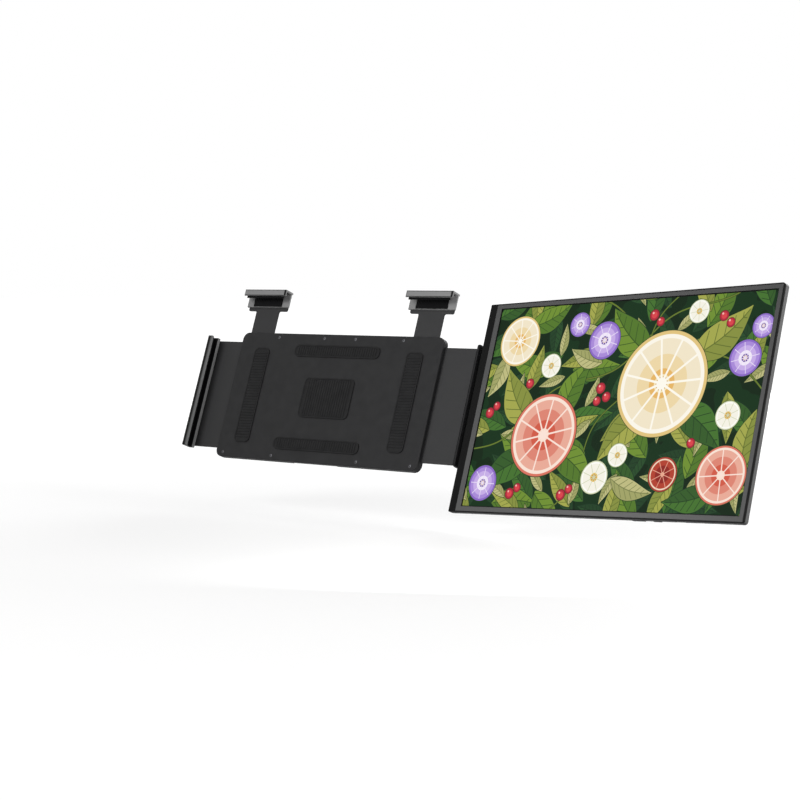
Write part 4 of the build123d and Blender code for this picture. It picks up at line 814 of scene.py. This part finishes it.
class MONITOR_OT_bumpers(bpy.types.Operator):
    """Model the rubber bumper and set its four copies on the back of the screen"""
    bl_idname = "monitor.bumpers"
    bl_label = "Rear bumpers"

    def execute(self, context):
        model = bumper_model(context, in_mm(context.scene.monitor_bumpers))
        places = [facing(SWUNG, (x, CASE_REAR, z), (0, 1, 0)) for x, z in BUMPERS]
        settle(context, placed(context, model, places), "rear_bumpers_domed", "monitor",
               "rubber_black", "rear_bumpers")
        return {"FINISHED"}


class MONITOR_PG_pads(bpy.types.PropertyGroup):
    """Sizes of the grip pads' borders and ribs"""
    border: FloatProperty(name="Border", description="Width of a grip pad's border",
                          default=1.4 * MM, unit="LENGTH")
    groove: FloatProperty(name="Groove", description="Depth between the ribs",
                          default=0.45 * MM, unit="LENGTH")
    rib_w: FloatProperty(name="Rib width", description="Width of a rib at its foot",
                         default=1.9 * MM, unit="LENGTH")
    pitch: FloatProperty(name="Pitch", description="Distance from rib to rib",
                         default=3.2 * MM, unit="LENGTH")


PAD_T = 1.0               # thickness of a pad
PAD_CORNER = 6.0          # radius of its corners
PAD_EDGE = 0.12           # rounding of its border
PAD_SLOPE = 0.2           # width of the slope inside its border
RIB_ROOT = 0.4            # how far a rib reaches into the pad
RIB_GAP = 0.6             # gap from a rib's end to the border
RIB_EDGE = 0.25           # rounding of a rib
RIB_TOP = (0.99, 0.7, 1)  # size of a rib's top as a share of its foot
# Grip pads: narrow side, long side, turn in degrees, places across and up
PADS = ((22, 112, 0, ((-108, 0), (108, 0))), (14, 120, 90, ((0, -54), (0, 54))),
        (46, 70, 90, ((0, 0),)))


def pad_model(context, size, narrow, long):
    """Soft pad with a raised border and ribs across its narrow way, its back at the origin."""
    bpy.ops.object.select_all(action="DESELECT")
    bpy.ops.mesh.primitive_plane_add(size=1, location=(0, 0, 0))
    pad = context.active_object
    pad.scale = (narrow, long, 1)
    bpy.ops.object.transform_apply(scale=True)
    shape(context, pad,
          (lambda face: True,
           lambda: bpy.ops.mesh.bevel(affect="VERTICES", offset=PAD_CORNER, segments=8)))
    modify(context, pad, "SOLIDIFY", thickness=PAD_T, offset=1)
    shape(context, pad,
          (lambda face: face.normal.z > 0.9, lambda: bpy.ops.mesh.inset(thickness=size.border)),
          (lambda face: face.normal.z > 0.9 and len(face.vertices) > 4,
           lambda: bpy.ops.mesh.inset(thickness=PAD_SLOPE, depth=-size.groove)))
    modify(context, pad, "BEVEL", width=PAD_EDGE, segments=2, limit_method="ANGLE",
           angle_limit=math.radians(50))
    clear = PAD_CORNER - size.border
    count = int((long - 2 * clear - size.rib_w) / size.pitch) + 1
    bpy.ops.object.select_all(action="DESELECT")
    bpy.ops.mesh.primitive_cube_add(size=1, location=(0, 0, 0))
    rib = context.active_object
    rib_h = size.groove + RIB_ROOT
    rib.scale = (narrow - 2 * (size.border + RIB_GAP), size.rib_w, rib_h)
    rib.location = (0, -size.pitch * (count - 1) / 2, PAD_T - rib_h / 2)
    bpy.ops.object.transform_apply(location=True, scale=True)
    shape(context, rib,
          (lambda face: face.normal.z > 0.9, lambda: bpy.ops.transform.resize(value=RIB_TOP)))
    modify(context, rib, "BEVEL", width=RIB_EDGE, segments=2, limit_method="ANGLE")
    modify(context, rib, "ARRAY", count=count, use_relative_offset=False,
           use_constant_offset=True, constant_offset_displace=(0, size.pitch, 0))
    alone(context, pad)
    rib.select_set(True)
    bpy.ops.object.join()
    return pad


class MONITOR_OT_pads(bpy.types.Operator):
    """Model the ribbed pads that bear on the gripped panel"""
    bl_idname = "monitor.pads"
    bl_label = "Grip pads"

    def execute(self, context):
        size = in_mm(context.scene.monitor_pads)
        copies = []
        for narrow, long, turn, places in PADS:
            turned = Matrix.Rotation(math.radians(turn), 4, "Z")
            copies += placed(context, pad_model(context, size, narrow, long),
                             [facing(LEANED, (x, PAD_T, z), (0, -1, 0)) @ turned
                              for x, z in places])
        # Moulded silicone: dull, softly mottled, a little blacker than the housing it lies on
        silicone = moulded("silicone_pad_moulded", linear("#101011"), 0.7, gloss=0.2, grain=0.8,
                           depth=0.03, mottle=0.1)
        settle(context, copies, "grip_pads_ribbed", "bracket", "silicone", "grip_pads", silicone)
        return {"FINISHED"}


class MONITOR_PG_stage(bpy.types.PropertyGroup):
    """Height of the floor and strength of the light"""
    floor_height: FloatProperty(name="Floor height", description="Height of the floor",
                                default=-0.127, unit="LENGTH")
    key_power: FloatProperty(name="Key lamp", description="Power of the lamp in front on the left",
                             default=32.0, unit="POWER")
    side_power: FloatProperty(name="Side lamp", description="Power of the lamp on the right",
                              default=11.0, unit="POWER")
    low_power: FloatProperty(name="Low lamp", description="Power of the low lamp in front",
                             default=0.85, unit="POWER")
    back_power: FloatProperty(name="Back lamp", description="Power of the lamp behind",
                              default=46.0, unit="POWER")
    ambient: FloatProperty(name="Ambient", description="Strength of the light from all round",
                           default=0.2, subtype="FACTOR")


# Lamps: name, place and width in metres, and the point that they are all turned to
LAMPS = (("key", (-1.1, -2.0, 1.5), 1.6), ("side", (1.3, 0.25, 0.75), 0.5),
         ("low", (0.40, -0.36, -0.05), 0.12), ("back", (-0.4, 2.3, 0.6), 1.6))
AIM = Vector((0.2, 0, 0))
# The floor's own glow round a point below the object, in metres: two distances from it, and the
# strength at each
GLOW_MIDDLE = (0.15, 0, 0)
GLOW_NEAR, GLOW_FAR = 0.3, 2.5
GLOW_LEAST, GLOW_FULL = 0.61, 1.0
# Camera: place in metres, heading, tilt and roll in degrees, lens and sensor in mm
CAMERA_PLACE = (1.25825, -1.54316, 0.12613)
CAMERA_TURN = (36.84, -3.68, 0.18)
CAMERA_LENS = 81.71
CAMERA_SENSOR = 36.0


def seen_directly(add):
    """1 for rays from the camera, in a reflection or through glass, and 0 for lighting."""
    path = add("LightPath")
    seen = add("Math", "MAXIMUM", path.outputs["Is Camera Ray"], path.outputs["Is Glossy Ray"])
    return add("Math", "MAXIMUM", seen, path.outputs["Is Transmission Ray"])


def floor_material():
    """Pale paper floor: it keeps the shadow near the object and runs out to plain white."""
    material, add = new_material("studio_paper_pale")
    away = add("VectorMath", "DISTANCE", add("TexCoord").outputs["Object"], GLOW_MIDDLE)
    glow = add("MapRange", None, away, GLOW_NEAR, GLOW_FAR, GLOW_LEAST, GLOW_FULL)
    glow = add("Math", "MULTIPLY", glow, seen_directly(add))
    shader = add("BsdfPrincipled", None, Base_Color=linear("#A8A8A8"), Roughness=0.9,
                 Specular_IOR_Level=0.1, Emission_Color=(1, 1, 1, 1), Emission_Strength=glow)
    add("OutputMaterial", None, shader)
    return material


def place_camera(context):
    """Camera at the photograph's viewing angle, from its measured place and turn."""
    data = bpy.data.cameras.new("camera")
    data.lens = CAMERA_LENS
    data.sensor_width = CAMERA_SENSOR
    data.clip_end = 50.0
    camera = bpy.data.objects.new("camera", data)
    context.scene.collection.objects.link(camera)
    heading, tilt, roll = CAMERA_TURN
    camera.matrix_world = (Matrix.Translation(CAMERA_PLACE)
                           @ Matrix.Rotation(math.radians(heading), 4, "Z")
                           @ Matrix.Rotation(math.radians(90 + tilt), 4, "X")
                           @ Matrix.Rotation(math.radians(roll), 4, "Z"))
    context.scene.camera = camera


class MONITOR_OT_stage(bpy.types.Operator):
    """Set up the pale floor, the soft studio light and the camera"""
    bl_idname = "monitor.stage"
    bl_label = "Stage"

    def execute(self, context):
        stage = context.scene.monitor_stage
        bpy.ops.object.select_all(action="DESELECT")
        bpy.ops.mesh.primitive_plane_add(size=40, location=(0, 0, stage.floor_height))
        floor = context.active_object
        floor.name = "floor"
        floor.data.materials.append(floor_material())
        for name, place, width in LAMPS:
            data = bpy.data.lights.new(name, "AREA")
            data.energy = getattr(stage, name + "_power")
            data.size = width
            lamp = bpy.data.objects.new(name, data)
            context.scene.collection.objects.link(lamp)
            lamp.location = place
            lamp.rotation_euler = (AIM - Vector(place)).to_track_quat("-Z", "Y").to_euler()
            lamp.visible_camera = False
        world = bpy.data.worlds.new("studio")
        context.scene.world = world
        world.use_nodes = True
        world.node_tree.nodes.clear()
        add = functools.partial(node, world.node_tree)
        strength = add("MapRange", None, seen_directly(add), 0.0, 1.0, stage.ambient, 1.0)
        around = add("Background", None, (1, 1, 1, 1), strength)
        add("OutputWorld", None, around)
        place_camera(context)
        context.scene.view_settings.view_transform = "Standard"
        return {"FINISHED"}


class MONITOR_PT_panel(bpy.types.Panel):
    """Lists the pieces' operators, and their sizes and colours"""
    bl_idname = "MONITOR_PT_panel"
    bl_label = "Clip-on monitor"
    bl_space_type = "VIEW_3D"
    bl_region_type = "UI"
    bl_category = "Monitor"

    def draw(self, context):
        for operator in OPERATORS:
            self.layout.operator(operator.bl_idname)
        for name, group in GROUPS.items():
            box = self.layout.box()
            for item in group.__annotations__:
                box.prop(getattr(context.scene, name), item)


GROUPS = {"monitor_finishes": MONITOR_PG_finishes, "monitor_screws": MONITOR_PG_screws,
          "monitor_bumpers": MONITOR_PG_bumpers, "monitor_pads": MONITOR_PG_pads,
          "monitor_stage": MONITOR_PG_stage}
OPERATORS = (MONITOR_OT_finish_nodes, MONITOR_OT_screws, MONITOR_OT_bumpers, MONITOR_OT_pads,
             MONITOR_OT_stage)


def register():
    for item in (*GROUPS.values(), *OPERATORS, MONITOR_PT_panel):
        bpy.utils.register_class(item)
    for name, group in GROUPS.items():
        setattr(bpy.types.Scene, name, PointerProperty(type=group))


def unregister():
    for name in GROUPS:
        delattr(bpy.types.Scene, name)
    for item in (MONITOR_PT_panel, *OPERATORS, *GROUPS.values()):
        bpy.utils.unregister_class(item)


def main():
    register()
    bpy.ops.monitor.finish_nodes()
    bpy.ops.monitor.screws()
    bpy.ops.monitor.bumpers()
    bpy.ops.monitor.pads()
    bpy.ops.monitor.stage()


if __name__ == "__main__":
    main()
